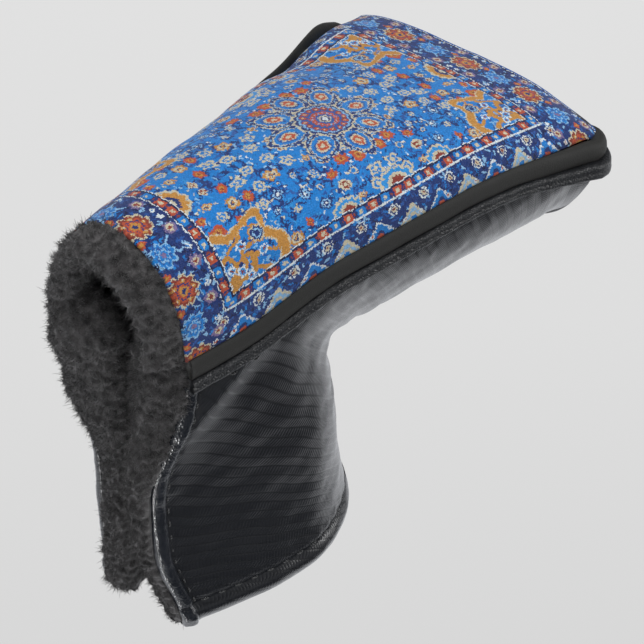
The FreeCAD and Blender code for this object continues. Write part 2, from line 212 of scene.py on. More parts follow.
def settle(p):
    """How the soft cover sits when it's on a club: the back rim stands up and dips in its middle, the
    back flap is drawn in at the hem, the front flap's heel edge flares out and the toe end droops."""
    x, y, z = p[..., 0], p[..., 1], p[..., 2]
    rim = trim_z(x)
    share = y / body_half(x)
    near_rim = smooth_step(z, rim - 26, rim - 1)
    lift = smooth_step(x, 30, 66) * smooth_step(x, 94, 78) * smooth_step(share, 0.45, 0.95) * near_rim
    dip = hump(x, 56, 12.5) * smooth_step(share, 0.2, 0.95) * near_rim
    draw = smooth_step(x, 8, HEEL_X) * smooth_step(z, 78, -5) * smooth_step(y, 0, 8)
    front = smooth_step(y, -3, -12)
    flare = smooth_step(x, 2, HEEL_X) * smooth_step(z, 82, 46)
    flare = flare * (0.25 + 0.75 * smooth_step(z, -2, 30)) * front
    tip = smooth_step(x, -2, HEEL_X) * smooth_step(z, 34, 0) * front
    sag = smooth_step(x, 44, 88) * smooth_step(z, 78, 58)
    droop = smooth_step(x, TOE_X - 7, TOE_X + 3) * smooth_step(y, -12, -34)
    return p + np.stack([-6.8 * flare, 1.2 * lift - 4.2 * draw + 3.0 * flare,
                         1.2 * lift + 2.6 * tip - 2.4 * sag - 4.0 * dip - 2.3 * droop], -1)


# ------------------------------------------------------------ meshes
def mesh_object(name, verts, faces, soft=True):
    mesh = bpy.data.meshes.new(name)
    verts = np.asarray(verts, float)
    if soft:
        verts = settle(verts)
    mesh.from_pydata((verts * MM).tolist(), [], faces)
    mesh.polygons.foreach_set("use_smooth", [True] * len(mesh.polygons))
    mesh.update()
    obj = bpy.data.objects.new(name, mesh)
    bpy.context.scene.collection.objects.link(obj)
    return obj


def grid_faces(nu, nv, wrap_v=False, flip=False):
    a, b = np.meshgrid(np.arange(nu - 1), np.arange(nv if wrap_v else nv - 1), indexing="ij")
    a2, b2 = a + 1, (b + 1) % nv
    quads = np.stack([a * nv + b, a2 * nv + b, a2 * nv + b2, a * nv + b2], -1).reshape(-1, 4)
    return quads[:, ::-1] if flip else quads


def add_uv(obj, uv):
    """uv: one pair per vertex, in millimetres."""
    layer = obj.data.uv_layers.new(name="mm")
    index = np.empty(len(obj.data.loops), np.int64)
    obj.data.loops.foreach_get("vertex_index", index)
    layer.data.foreach_set("uv", np.asarray(uv, np.float32)[index].ravel())


def grid_object(name, points, flip=False, uv=None, tube=False):
    """Surface through a grid of points; a tube joins its last column to its first and has caps."""
    nu, nv = points.shape[:2]
    faces = grid_faces(nu, nv, tube, flip).tolist()
    if tube:
        first, last = list(range(nv)), [(nu - 1) * nv + i for i in range(nv)]
        faces += [first if flip else first[::-1], last[::-1] if flip else last]
    obj = mesh_object(name, points.reshape(-1, 3), faces)
    if uv is not None:
        add_uv(obj, uv.reshape(-1, 2))
    return obj


def mirror_y(points):
    return points * np.array([1, -1, 1])


def for_side(points, side):
    return points if side == "front" else mirror_y(points)


def normals_of(points):
    return unit(np.cross(np.gradient(points, axis=0), np.gradient(points, axis=1)), 1e-9)


def running(points, axis):
    """Distance covered along one direction of a grid of points."""
    step = np.linalg.norm(np.diff(points, axis=axis), axis=-1)
    start = np.zeros_like(np.take(step, [0], axis=axis))
    return np.cumsum(np.concatenate([start, step], axis=axis), axis=axis)


def read_at(want, have, values):
    """Columns of `values`, known at the places `have`, read at the places `want`."""
    return np.stack([np.interp(want, have, column) for column in values.T], -1)


def waves(points, size, seed):
    """Smooth noise at each point, about -1 to 1; size in millimetres."""
    flat = points.reshape(-1, 3) / size + np.array([seed * 7.3, seed * 3.1, seed * 1.7])
    value = np.array([noise.fractal(Vector(p), 1.0, 2.0, 2) for p in flat])
    return value.reshape(points.shape[:-1])


def sweep(name, path, outward, up, profile, flip=False):
    """A closed profile of (outward, up) pairs carried along a path, with both directions given."""
    prof = np.asarray(profile, float)
    if prof.ndim == 2:
        prof = np.repeat(prof[None], len(path), 0)
    pts = path[:, None] + prof[..., :1] * outward[:, None] + prof[..., 1:] * up[:, None]
    along = running(path[:, None], 0)
    around = running(np.concatenate([pts, pts[:, :1]], 1), 1)[:, :-1]
    uv = np.stack([np.broadcast_to(along, pts.shape[:2]), around], -1)
    return grid_object(name, pts, flip=flip, tube=True, uv=uv)


# ------------------------------------------------------------ materials
class Value:
    """An output of a material's nodes; arithmetic with it adds nodes to the material."""

    def __init__(self, nodes, socket):
        self.nodes, self.socket = nodes, socket

    def math(self, operation, *others):
        node = self.nodes.node("Math", operation=operation)
        for socket, value in zip(node.inputs, (self, *others)):
            self.nodes.link(value, socket)
        return Value(self.nodes, node.outputs[0])

    def __add__(self, other):
        return self.math("ADD", other)

    def __sub__(self, other):
        return self.math("SUBTRACT", other)

    def __mul__(self, other):
        return self.math("MULTIPLY", other)

    def __truediv__(self, other):
        return self.math("DIVIDE", other)


class Nodes:
    """A material's node tree with short helpers."""

    def __init__(self, name):
        self.mat = bpy.data.materials.new(name)
        self.mat.use_nodes = True
        self.tree = self.mat.node_tree
        self.shader = self.tree.nodes["Principled BSDF"]

    def node(self, kind, **settings):
        node = self.tree.nodes.new("ShaderNode" + kind)
        for key, value in settings.items():
            setattr(node, key, value)
        return node

    def link(self, value, socket):
        if isinstance(value, Value):
            self.tree.links.new(value.socket, socket)
        elif isinstance(value, tuple) and socket.type == "RGBA":
            socket.default_value = (*value, 1)
        else:
            socket.default_value = value

    def split(self, socket):
        """The three parts of a vector."""
        node = self.node("SeparateXYZ")
        self.tree.links.new(socket, node.inputs[0])
        return [Value(self, part) for part in node.outputs]

    def uv(self):
        return self.split(self.node("UVMap", uv_map="mm").outputs[0])[:2]

    def place(self, size):
        """Object position scaled so that one unit is `size` millimetres."""
        node = self.node("VectorMath", operation="SCALE")
        node.inputs["Scale"].default_value = 1 / (size * MM)
        self.tree.links.new(self.node("TexCoord").outputs["Object"], node.inputs[0])
        return Value(self, node.outputs[0])

    def noise(self, size, detail=2.0, rough=0.5):
        node = self.node("TexNoise")
        for key, value in (("Vector", self.place(size)), ("Scale", 1.0),
                           ("Detail", detail), ("Roughness", rough)):
            self.link(value, node.inputs[key])
        return Value(self, node.outputs["Fac"])

    def cell_edges(self, size):
        node = self.node("TexVoronoi", feature="DISTANCE_TO_EDGE")
        self.link(self.place(size), node.inputs["Vector"])
        self.link(1.0, node.inputs["Scale"])
        return Value(self, node.outputs["Distance"])

    def ramp(self, value, stops):
        node = self.node("ValToRGB")
        self.link(value, node.inputs[0])
        elements = node.color_ramp.elements
        while len(elements) < len(stops):
            elements.new(0.5)
        for element, (where, colour) in zip(elements, stops):
            element.position = where
            element.color = (*colour, 1)
        return Value(self, node.outputs[0])

    def mix(self, share, a, b, blend="MIX"):
        node = self.node("Mix", data_type="RGBA", blend_type=blend)
        for socket, value in ((node.inputs["Factor"], share), (node.inputs[6], a), (node.inputs[7], b)):
            self.link(value, socket)
        return Value(self, node.outputs[2])

    def bump(self, height, distance, strength=1.0):
        """`distance` is the height of the relief, in millimetres."""
        node = self.node("Bump")
        for key, value in (("Distance", distance * MM), ("Strength", strength), ("Height", height)):
            self.link(value, node.inputs[key])
        return Value(self, node.outputs[0])

    def set(self, **values):
        for key, value in values.items():
            self.link(value, self.shader.inputs[key.replace("_", " ")])
        return self.mat


def srgb(r, g, b):
    def one(c):
        c /= 255
        return c / 12.92 if c <= 0.04045 else ((c + 0.055) / 1.055) ** 2.4
    return (one(r), one(g), one(b))


def grey(level):
    return (level, level, level)


def print_material(thread_pitch=0.54):
    """Plain-woven cloth, printed with the face colours of the panel."""
    n = Nodes("printed_cloth")
    rug = Value(n, n.node("Attribute", attribute_name="rug").outputs["Color"])
    fade, grain = n.noise(9.0, 3.0), n.noise(0.5, 1.0)
    shade = fade * 0.22 + grain * 0.34 + 0.72
    colour = n.mix(1.0, rug, n.ramp(shade, [(0.0, grey(0)), (1.0, grey(1))]), "MULTIPLY")
    warp, weft = [(way * (TURN / thread_pitch)).math("SINE") for way in n.uv()]
    height = warp * weft * 0.5 + grain * 0.8
    return n.set(Base_Color=colour, Roughness=grain * 0.15 + 0.72, Normal=n.bump(height, 0.06),
                 Sheen_Weight=0.12, Sheen_Roughness=0.5, Specular_IOR_Level=0.25)


def fleece_material(name, light=1.0):
    n = Nodes(name)
    low, high = [tuple(c * light for c in colour) for colour in (srgb(22, 21, 22), srgb(84, 82, 83))]
    colour = n.ramp(n.noise(2.4, 3.0, 0.6), [(0.32, low), (0.70, high)])
    return n.set(Base_Color=colour, Roughness=0.92, Normal=n.bump(n.noise(0.25), 0.15), Sheen_Weight=0.25,
                 Sheen_Roughness=0.6, Specular_IOR_Level=0.15)


def emboss_material(row_pitch=2.35, tick_pitch=0.82):
    """Leather embossed with rows of short slanting ticks that change direction from row to row."""
    n = Nodes("embossed_leather")
    u, v = n.uv()
    wave = (u * (TURN / 21.0)).math("SINE")
    row = (v + (wave * 0.25 + n.noise(7.0) * 0.5)) / row_pitch
    part = row.math("FRACT")
    side = ((row * 0.5).math("FRACT") * 2.0).math("FLOOR") * 2.0 - 1.0
    tick = (u / tick_pitch + part * side * 0.75).math("PINGPONG", 0.5)
    valley = part.math("PINGPONG", 0.5)
    tick = (tick * 3.0).math("SMOOTH_MIN", 1.0, 0.3) * (valley * 6.0).math("MINIMUM", 1.0)
    grain = n.noise(0.35)
    # the raised ticks are lighter and the grooves between them darker: painted shade in the embossing
    colour = n.mix(tick, srgb(9, 11, 15), srgb(18, 20, 26))
    colour = n.mix(n.noise(14.0) * 0.4, colour, srgb(20, 23, 29))
    return n.set(Base_Color=colour, Roughness=grain * 0.12 + 0.27,
                 Normal=n.bump(tick + grain * 0.35, 0.075, 0.55), Specular_IOR_Level=0.5)


def smooth_leather_material(name, low, high, rough, relief, size=0.9):
    n = Nodes(name)
    wear = n.noise(6.0, 3.0)
    height = (n.cell_edges(size) * 4.0).math("MINIMUM", 1.0) + n.noise(0.3) * 0.5
    return n.set(Base_Color=n.mix(wear, srgb(*low), srgb(*high)), Roughness=wear * 0.2 + rough,
                 Normal=n.bump(height, relief), Specular_IOR_Level=0.45)


def thread_material():
    n = Nodes("stitch_thread")
    u, v = n.uv()
    twist = (u * 9.0 + v * 3.3).math("SINE")
    # the crests of the twist are lighter and its grooves darker: painted highlight and shade on the thread
    colour = n.mix(twist * 0.5 + 0.5, srgb(12, 13, 15), srgb(46, 48, 52))
    return n.set(Base_Color=colour, Roughness=0.6, Normal=n.bump(twist, 0.12), Sheen_Weight=0.2)


def metal_material():
    n = Nodes("magnet_plating")
    scratch = n.noise(0.6, 4.0)
    colour = n.mix(scratch, srgb(150, 150, 152), srgb(190, 190, 194))
    return n.set(Base_Color=colour, Metallic=1.0, Roughness=scratch * 0.2 + 0.22,
                 Normal=n.bump(scratch, 0.02))


def tape_material():
    n = Nodes("woven_tape")
    weave = n.noise(0.5)
    return n.set(Base_Color=n.mix(weave, srgb(30, 30, 33), srgb(58, 58, 62)), Roughness=0.85,
                 Normal=n.bump(weave, 0.1))


PRINT = print_material()
FLEECE = fleece_material("fleece")
# a darker copy of the same fleece for the pieces inside the cover: painted shade
SHADED_FLEECE = fleece_material("shaded_fleece", 0.6)
EMBOSS = emboss_material()
TRIM = smooth_leather_material("trim_leather", (27, 27, 26), (35, 35, 33), 0.6, 0.03, 0.7)
WELT = smooth_leather_material("welt_leather", (15, 16, 19), (34, 36, 40), 0.34, 0.08)
EDGE = smooth_leather_material("edge_leather", (14, 17, 23), (28, 32, 40), 0.14, 0.04)
THREAD = thread_material()
METAL = metal_material()
TAPE = tape_material()


def bend_with_flap(obj, side):
    """Works out the fold between the body and a flap, which nothing then uses, and bakes the piece's
    placement into its mesh; the piece is tied to no body.
    """
    middle = for_side((FOLD_TOP + FOLD_HEM) / 2, side)
    along = unit(FOLD_HEM - FOLD_TOP)
    across = unit(np.array([-abs(along[2]), 0, -abs(along[0])]))
    start, end = (middle - across * FOLD_REACH) * MM, (middle + across * FOLD_REACH) * MM
    side + "_flap"
    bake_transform(obj)


def dress(obj, material, replaces=(), flap=None):
    """Finishes a piece: its material, the CAD nodes that it stands for, and the body that it moves with,
    which is the cover's body;
    a piece given a flap only has its placement baked in and is tied to no body."""
    obj.data.materials.clear()
    obj.data.materials.append(material)
    if replaces:
        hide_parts(*replaces)
    if flap:
        bend_with_flap(obj, flap)
    else:
        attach(obj, "cover_body")


# ------------------------------------------------------------ the printed rug
RUG = {
    "field": (26, 120, 196), "field2": (46, 138, 206), "navy": (30, 52, 108), "navy2": (40, 84, 154),
    "dark": (24, 34, 72), "pale": (130, 174, 212), "white": (204, 212, 216), "cream": (192, 184, 160),
    "gold": (184, 132, 64), "ochre": (150, 104, 54), "red": (176, 80, 54), "rust": (132, 58, 48),
    "mauve": (120, 104, 142), "grey": (120, 128, 140),
}
INK = {name: i for i, name in enumerate(RUG)}
CELL = 0.27
SIDE_NAVY = 8.6
END_STRIP = 0.6
END_NAVY = 14.6
GUARD = 0.3
HEEL_CUT = 6.0
SQUARES = 2.6
SQUARE_PITCH = 3.7
NAVY_END = END_STRIP + 2 * GUARD + END_NAVY
FIELD_STRETCH = 1.18
MEDALLION_STRETCH = 1.08
EVERYWHERE = (slice(None), slice(None))


class Rug:
    """A quarter of the rug; distances run from its centre, along and across."""

    def __init__(self, half_long, half_wide):
        self.a, self.b = half_long, half_wide
        self.nx, self.ny = int(half_long / CELL) + 1, int(half_wide / CELL) + 1
        self.x, self.y = np.meshgrid((np.arange(self.nx) + 0.5) * CELL, (np.arange(self.ny) + 0.5) * CELL,
                                     indexing="ij")
        self.end, self.side = self.a - self.x, self.b - self.y
        self.field_a = self.a - (NAVY_END + SQUARES + 0.5)
        self.field_b = self.b - (SIDE_NAVY + GUARD + SQUARES + 0.5)
        self.ink = np.full(self.x.shape, INK["field"], np.int16)
        self.pick = np.random.default_rng(7)

    def window(self, cx, cy, r):
        """The cells round a point, and their distances from it."""
        x0, x1 = int(max((cx - r) / CELL, 0)), int(min((cx + r) / CELL + 2, self.nx))
        y0, y1 = int(max((cy - r) / CELL, 0)), int(min((cy + r) / CELL + 2, self.ny))
        part = (slice(x0, x1), slice(y0, y1))
        return part, self.x[part] - cx, self.y[part] - cy

    def paint(self, mask, ink, part=EVERYWHERE, over=None):
        block = self.ink[part]
        if over is not None:
            mask = mask & np.isin(block, [INK[o] for o in over])
        block[mask] = INK[ink]

    def rings(self, radius, inks):
        """Everything within each share of a radius, from the rim in."""
        for share, ink in inks:
            self.paint(radius < share, ink)

    def leaf(self, cx, cy, length, width, inks, turns=math.pi, over=None):
        """A small leaf, turned at random, in one of the inks."""
        angle = self.pick.uniform(0, turns)
        ink = self.pick.choice(inks)
        part, dx, dy = self.window(cx, cy, length)
        c, s = math.cos(angle), math.sin(angle)
        p, q = dx * c + dy * s, -dx * s + dy * c
        self.paint(np.abs(q) < width * (1 - (p / length) ** 2), ink, part, over)

    def flower(self, cx, cy, r, inks, petals=6, deep=0.25, turn=0.0, stretch=1.0):
        """Rings of ink from the rim in; inks is a list of (share of the radius, ink)."""
        part, dx, dy = self.window(cx, cy, r * max(1, stretch) * 1.1)
        dx = dx / stretch
        radius, angle = np.hypot(dx, dy), np.arctan2(dy, dx) + turn
        rim = r * (1 - deep + deep * np.abs(np.cos(angle * petals / 2)))
        for share, ink in inks:
            rim_here = rim * share if share > 0.3 else r * share
            self.paint(radius < rim_here, ink, part)


def paint_field(rug):
    """Small dark leaves and curls, then scattered flowers."""
    pick = rug.pick
    for _ in range(1500):
        x, y = pick.uniform(0, rug.field_a), pick.uniform(0, rug.field_b)
        if noise.noise(Vector((x / 5.0, y / 5.0, 3.3))) + pick.uniform(-0.35, 0.35) < -0.12:
            continue
        size = pick.uniform(0.6, 1.35)
        rug.leaf(x, y, size, size * 0.27, ["navy", "navy2", "navy", "field2"], over=["field", "field2"])
    for _ in range(150):
        x, y = pick.uniform(0, rug.field_a), pick.uniform(0, rug.field_b)
        rug.leaf(x, y, 0.55, 0.3, ["white", "cream", "pale"])
    kinds = [
        [(1.0, "cream"), (0.62, "field"), (0.3, "cream")],
        [(1.0, "gold"), (0.68, "cream"), (0.4, "navy"), (0.2, "gold")],
        [(1.0, "red"), (0.5, "gold"), (0.22, "rust")],
        [(1.0, "navy"), (0.75, "pale"), (0.5, "navy"), (0.24, "white")],
        [(1.0, "cream"), (0.6, "rust"), (0.3, "cream")],
        [(1.0, "navy"), (0.8, "cream"), (0.5, "field")],
    ]
    apart, most, margin = 4.1, 52, 1.5
    spots, tries = [], 0
    while len(spots) < most and tries < 9000:
        tries += 1
        x, y = pick.uniform(margin, rug.field_a - margin), pick.uniform(margin, rug.field_b - margin)
        if all(math.hypot(x - p, y - q) > apart for p, q in spots):
            spots.append((x, y))
            kind = kinds[pick.integers(len(kinds))]
            r = pick.uniform(0.95, 2.1)
            rug.flower(x, y, r, kind, int(pick.choice([4, 5, 6, 8, 12])), pick.uniform(0.18, 0.5),
                       pick.uniform(0, 3), pick.uniform(0.8, 1.35))


def paint_corner_piece(rug):
    """A scalloped gold band with an eye, blue inside, and a stem with curling branches."""
    cx, cy = rug.field_a, rug.field_b
    dx, dy = cx - rug.x, cy - rug.y
    inside = (dx > 0) & (dy > 0)
    reach = np.hypot(dx / FIELD_STRETCH, dy)
    angle = np.arctan2(dy, dx)
    edge = 13.6 + 1.7 * np.abs(np.sin(angle * 5)) + 4.2 * hump(angle, 0.78, 0.17)
    for depth, ink in ((0.0, "cream"), (0.35, "gold"), (2.3, "cream"), (2.65, "field")):
        rug.paint(inside & (reach < edge - depth), ink)
    for _ in range(150):
        t, r = rug.pick.uniform(0, math.pi / 2), rug.pick.uniform(0, 12)
        rug.leaf(cx - r * FIELD_STRETCH * math.cos(t), cy - r * math.sin(t), 0.8, 0.28,
                 ["navy", "navy2", "pale"], 3.2, over=["field"])
    for turn in (0.36, 0.78, 1.2):
        bend = angle - turn - 0.16 * np.sin(reach * 0.9)
        rug.paint(inside & (np.abs(bend) * reach < 0.55) & (reach < edge - 2.0), "gold")
    rug.paint(inside & (np.abs(reach - 7.4 - 1.1 * np.cos(angle * 9)) < 0.75), "gold")
    eye = [(1.0, "gold"), (0.84, "cream"), (0.72, "navy"), (0.5, "pale"), (0.3, "navy")]
    bud = [(1.0, "white"), (0.66, "field2"), (0.34, "rust")]
    for t, far, r, inks, petals, deep in (
            (0.5, 10.2, 1.3, bud, 6, 0.3), (1.06, 10.2, 1.3, bud, 6, 0.3), (0.3, 5.0, 1.2, bud, 6, 0.3),
            (1.28, 5.0, 1.2, bud, 6, 0.3), (0.78, 4.6, 1.5, bud, 6, 0.3), (0.78, 13.0, 2.5, eye, 8, 0.2)):
        rug.flower(cx - far * FIELD_STRETCH * math.cos(t), cy - far * math.sin(t), r, inks, petals, deep)


def paint_palmettes(rug):
    """Half flowers that stand on the edges of the field."""
    fan = [(1.0, "cream"), (0.86, "field2"), (0.62, "cream"), (0.42, "rust")]
    rug.flower(0.0, rug.field_b + 0.4, 5.2, fan, 12, 0.16, 0.0, 1.15)
    rug.flower(15.5, rug.field_b + 0.4, 4.2, fan, 12, 0.16, 0.0, 1.15)
    rug.flower(rug.field_a + 0.3, 0.0, 5.0,
               [(1.0, "cream"), (0.84, "gold"), (0.5, "navy"), (0.25, "cream")], 12, 0.16)


def paint_medallion(rug):
    """Eight outlined petals round a rosette."""
    radius = np.hypot(rug.x / MEDALLION_STRETCH, rug.y)
    angle = np.arctan2(rug.y, rug.x / MEDALLION_STRETCH)
    folded = np.mod(angle + math.pi / 8, math.pi / 4) - math.pi / 8
    p, q = radius * np.cos(folded) - 11.4, radius * np.abs(np.sin(folded))
    point = np.clip(p / 5.9, 0, 1)
    petal = np.hypot(q / (4.1 * (1 - 0.5 * point ** 1.5)), p / 5.9) + 0.03 * np.cos(q * 6) * np.cos(p * 6)
    rug.paint(radius < 9.4, "navy2")
    rug.rings(petal, ((1.04, "cream"), (0.96, "navy"), (0.74, "cream"), (0.67, "field"), (0.5, "navy2"),
                      (0.38, "cream"), (0.3, "red"), (0.14, "cream")))
    rug.paint((petal > 0.78) & (petal < 0.9) & (np.cos(angle * 56) > 0.45), "pale")
    for _ in range(160):
        t, r = rug.pick.uniform(0, math.pi / 2), rug.pick.uniform(6.5, 10.0)
        rug.leaf(r * MEDALLION_STRETCH * math.cos(t), r * math.sin(t), 0.7, 0.26,
                 ["navy", "field", "pale"], 3.2, over=["navy2"])
    rug.rings(radius / (6.9 + 0.7 * np.abs(np.cos(angle * 8))),
              ((1.0, "cream"), (0.93, "navy"), (0.84, "pale"), (0.78, "navy2")))
    outer = [(1.0, "rust"), (0.72, "red"), (0.35, "cream")]
    inner = [(1.0, "red"), (0.4, "pale")]
    for i in range(5):
        t = i * math.pi / 8
        for far, size, inks, turn in ((4.9, 0.95, outer, t), (2.9, 0.75, inner, t + math.pi / 16)):
            rug.flower(far * MEDALLION_STRETCH * math.cos(turn), far * math.sin(turn), size, inks, 4, 0.3, t)
    rug.flower(0, 0, 1.7, [(1.0, "cream"), (0.72, "navy"), (0.45, "white")], 8, 0.2, 0.0, 1.1)


def paint_squares(rug):
    """Inner border of small squares between guard lines."""
    def band(low_side, low_end, width, ink):
        near_side = (rug.side >= low_side) & (rug.side < low_side + width) & (rug.end >= low_end)
        near_end = (rug.end >= low_end) & (rug.end < low_end + width) & (rug.side >= low_side)
        rug.paint(near_side | near_end, ink)
        return near_side, near_end

    band(SIDE_NAVY, NAVY_END, GUARD + SQUARES + 0.55, "dark")
    band(SIDE_NAVY, NAVY_END, GUARD, "white")
    inset, row = GUARD + 0.25, SQUARES - 0.5
    near_side, near_end = band(SIDE_NAVY + inset, NAVY_END + inset, row, "navy")
    for mask, run, away in ((near_side, rug.x, rug.side - SIDE_NAVY), (near_end, rug.y, rug.end - NAVY_END)):
        off = np.abs(np.mod(run, SQUARE_PITCH) / SQUARE_PITCH - 0.5)
        even = np.mod(np.floor(run / SQUARE_PITCH), 2) == 0
        mid = np.abs(away - inset - row / 2)
        rug.paint(mask & (off < 0.33) & even, "red")
        rug.paint(mask & (off < 0.33) & ~even, "field")
        rug.paint(mask & (off < 0.13) & (mid < 0.5), "cream")
        rug.paint(mask & (off > 0.44) & (mid < 0.35), "rust")
    outer = GUARD + SQUARES + 0.15
    band(SIDE_NAVY + outer, NAVY_END + outer, 0.36, "white")


def paint_side_border(rug):
    """Dark blue border of the whole rug; half diamonds and small flowers along its sides."""
    rug.paint((rug.side < SIDE_NAVY) | (rug.end < NAVY_END), "navy")
    for _ in range(1500):
        x, y = rug.pick.uniform(0, rug.a), rug.pick.uniform(0, rug.b)
        if rug.b - y < SIDE_NAVY or rug.a - x < NAVY_END:
            rug.leaf(x, y, rug.pick.uniform(0.5, 1.2), 0.3, ["field", "navy2", "dark", "pale", "navy2"], 3.2,
                     over=["navy"])
    even = [(1.0, "cream"), (0.8, "pale"), (0.55, "cream"), (0.35, "field")]
    odd = [(1.0, "white"), (0.86, "field"), (0.5, "navy"), (0.3, "red")]
    pitch = 9.6
    for i in range(8):
        x = i * pitch
        if x > rug.a - NAVY_END + 2:
            break
        part, dx, dy = rug.window(x, rug.b, 7.0)
        reach = np.abs(dx) / 4.3 + np.abs(dy) / 5.4 + 0.06 * np.cos(dx * 5)
        for share, ink in odd if i % 2 else even:
            rug.paint(reach < share, ink, part)
        middle = x + pitch / 2
        rug.flower(middle, rug.b - SIDE_NAVY + 2.6, 1.6,
                   [(1.0, "white"), (0.78, "navy"), (0.5, "cream"), (0.22, "rust")], 8, 0.14)
        for off in (-2.1, 2.1):
            rug.flower(middle + off * 1.15, rug.b - 1.6, 0.75, [(1.0, "white"), (0.4, "red")], 4, 0.4)


def paint_end_border(rug):
    """Large red and blue flowers by turns across the end of the rug."""
    red = [(1.0, "cream"), (0.87, "rust"), (0.68, "red"), (0.5, "navy"), (0.42, "red"), (0.28, "gold"),
           (0.14, "navy")]
    blue = [(1.0, "pale"), (0.84, "field"), (0.62, "navy2"), (0.5, "pale"), (0.36, "field"), (0.2, "mauve")]
    middle = rug.a - END_STRIP - GUARD - END_NAVY / 2
    pitch = 9.9
    for i in range(5):
        y = i * pitch
        if i % 2:
            rug.flower(middle, y, 3.6, blue, 8, 0.34, 0.0, 0.95)
        else:
            rug.flower(middle, y, 4.4, red, 10, 0.22, 0.0, 0.95)
            for turn in (np.arange(5) + 0.5) * TURN / 5:
                rug.flower(middle + 2.6 * math.cos(turn), y + 2.6 * math.sin(turn), 0.6,
                           [(1.0, "gold"), (0.45, "cream")], 4, 0.3)
        for off in (-5.6, 5.6):
            rug.flower(middle + off, y + pitch / 2, 1.7,
                       [(1.0, "mauve"), (0.6, "cream"), (0.3, "rust")], 6, 0.2)
            rug.flower(middle + off * 1.08, y + 1.2, 0.8, [(1.0, "white"), (0.4, "field")], 4, 0.4)
        rug.flower(middle + 2.4, y + pitch / 2, 1.1, [(1.0, "red"), (0.5, "gold")], 4, 0.35)
    for width, ink in ((END_STRIP + GUARD + 0.4, "dark"), (END_STRIP + GUARD, "white"), (END_STRIP, "navy2")):
        rug.paint(rug.end < width, ink)


def paint_rug():
    rug = Rug((LENGTH + HEEL_CUT) / 2, ARCH_WIDTH / 2)
    for step in (paint_field, paint_corner_piece, paint_palmettes, paint_medallion, paint_squares,
                 paint_side_border, paint_end_border):
        step(rug)
    return rug


def off_centre(value, shift, half):
    """Moves a pattern's centre by a shift, with its edges kept in place."""
    moved = value - shift
    return np.where(moved > 0, moved * half / (half - shift), moved * half / (half + shift))


def rug_colours(x, t):
    """Linear colour of each cell; x and t are distances from the panel's centre."""
    rug = paint_rug()
    shake = np.random.default_rng(3)
    jx, jt = shake.normal(0, 0.08, x.shape), shake.normal(0, 0.08, x.shape)
    # the lines of the pattern wander a little, as in hand-knotted work
    for size, amount in ((3.1, 0.16), (1.3, 0.09)):
        a, b, c, d = shake.uniform(0.75, 1.35, 4) * 2 * math.pi / size
        jx = jx + amount * np.sin(a * t + 2 * np.sin(b * x / 2)) * np.sin(c * x / 3)
        jt = jt + amount * np.sin(d * x + 2 * np.sin(a * t / 2)) * np.sin(b * t / 3)
    x = off_centre(x + HEEL_CUT / 2, 2.25 + HEEL_CUT / 2, (LENGTH + HEEL_CUT) / 2)
    t = off_centre(t, -2.4, ARCH_WIDTH / 2)
    i = np.clip((np.abs(x + jx) / CELL).astype(int), 0, rug.nx - 1)
    j = np.clip((np.abs(t + jt) / CELL).astype(int), 0, rug.ny - 1)
    colour = np.array([srgb(*RUG[name]) for name in RUG])[rug.ink[i, j]]
    colour = colour * shake.normal(1.0, 0.1, x.shape)[..., None] + shake.normal(0, 0.008, x.shape)[..., None]
    return np.clip(colour, 0.004, 0.95)


def even_steps(line, count):
    """Points at even distances along a finely sampled line."""
    run = np.concatenate([[0], np.cumsum(np.linalg.norm(np.diff(line, axis=0), axis=1))])
    return read_at(np.linspace(0, run[-1], count), run, line)


def soft_lift(pts, step=8):
    """Slow unevenness of the padding under the print, worked out on every eighth row and column."""
    nu, nv = pts.shape[:2]
    coarse = pts[::step, ::step]
    soft = waves(coarse, 26.0, 3) * 0.55 + waves(coarse, 9.0, 5) * 0.14
    rows = read_at(np.arange(nv), np.arange(0, nv, step), soft.T).T
    lift = read_at(np.arange(nu), np.arange(0, nu, step), rows)
    to_edge = np.minimum(np.arange(nv), nv - 1 - np.arange(nv)) / nv
    return lift * np.clip(to_edge * 14, 0, 1)[None]


def printed_panel():
    nu, nv = int(LENGTH / CELL), int(ARCH_WIDTH / CELL)
    us = np.linspace(0, 1, nu)
    pts = np.array([even_steps(arch_point(u, np.linspace(0, 1, 241)), nv) for u in us])
    normal = normals_of(pts)
    if normal[nu // 2, nv // 2, 2] < 0:
        normal = -normal
    pts = pts + normal * soft_lift(pts)[..., None]
    # the heel and toe edges are turned under
    turned = [(0.28, 0.10), (0.5, 0.36), (0.56, 0.68), (0.42, 0.95), (0.0, 1.1), (-1.2, 1.15), (-3.5, 1.2)]
    heel = [pts[0] + np.array([-out, 0, 0]) - normal[0] * down for out, down in turned]
    toe = [pts[-1] + np.array([out, 0, 0]) - normal[-1] * down for out, down in turned]
    full = np.concatenate([np.array(heel[::-1]), pts, np.array(toe)], 0)
    under = np.arange(1, len(turned) + 1) * 0.4
    length = np.concatenate([-under[::-1], us * LENGTH, LENGTH + under])
    width = np.linspace(0, ARCH_WIDTH, nv)
    obj = grid_object("printed_rug_panel", full, uv=np.stack(np.meshgrid(length, width, indexing="ij"), -1))
    along = (length[1:] + length[:-1]) / 2 - LENGTH / 2
    across = (width[1:] + width[:-1]) / 2 - ARCH_WIDTH / 2
    colour = rug_colours(*np.meshgrid(np.clip(along, -LENGTH / 2, LENGTH / 2), across, indexing="ij"))
    opaque = np.concatenate([colour, np.ones((*colour.shape[:2], 1))], -1).reshape(-1, 4)
    layer = obj.data.color_attributes.new("rug", "FLOAT_COLOR", "CORNER")
    layer.data.foreach_set("color", np.repeat(opaque, 4, axis=0).astype(np.float32).ravel())
    dress(obj, PRINT, ["printed_top_panel"])


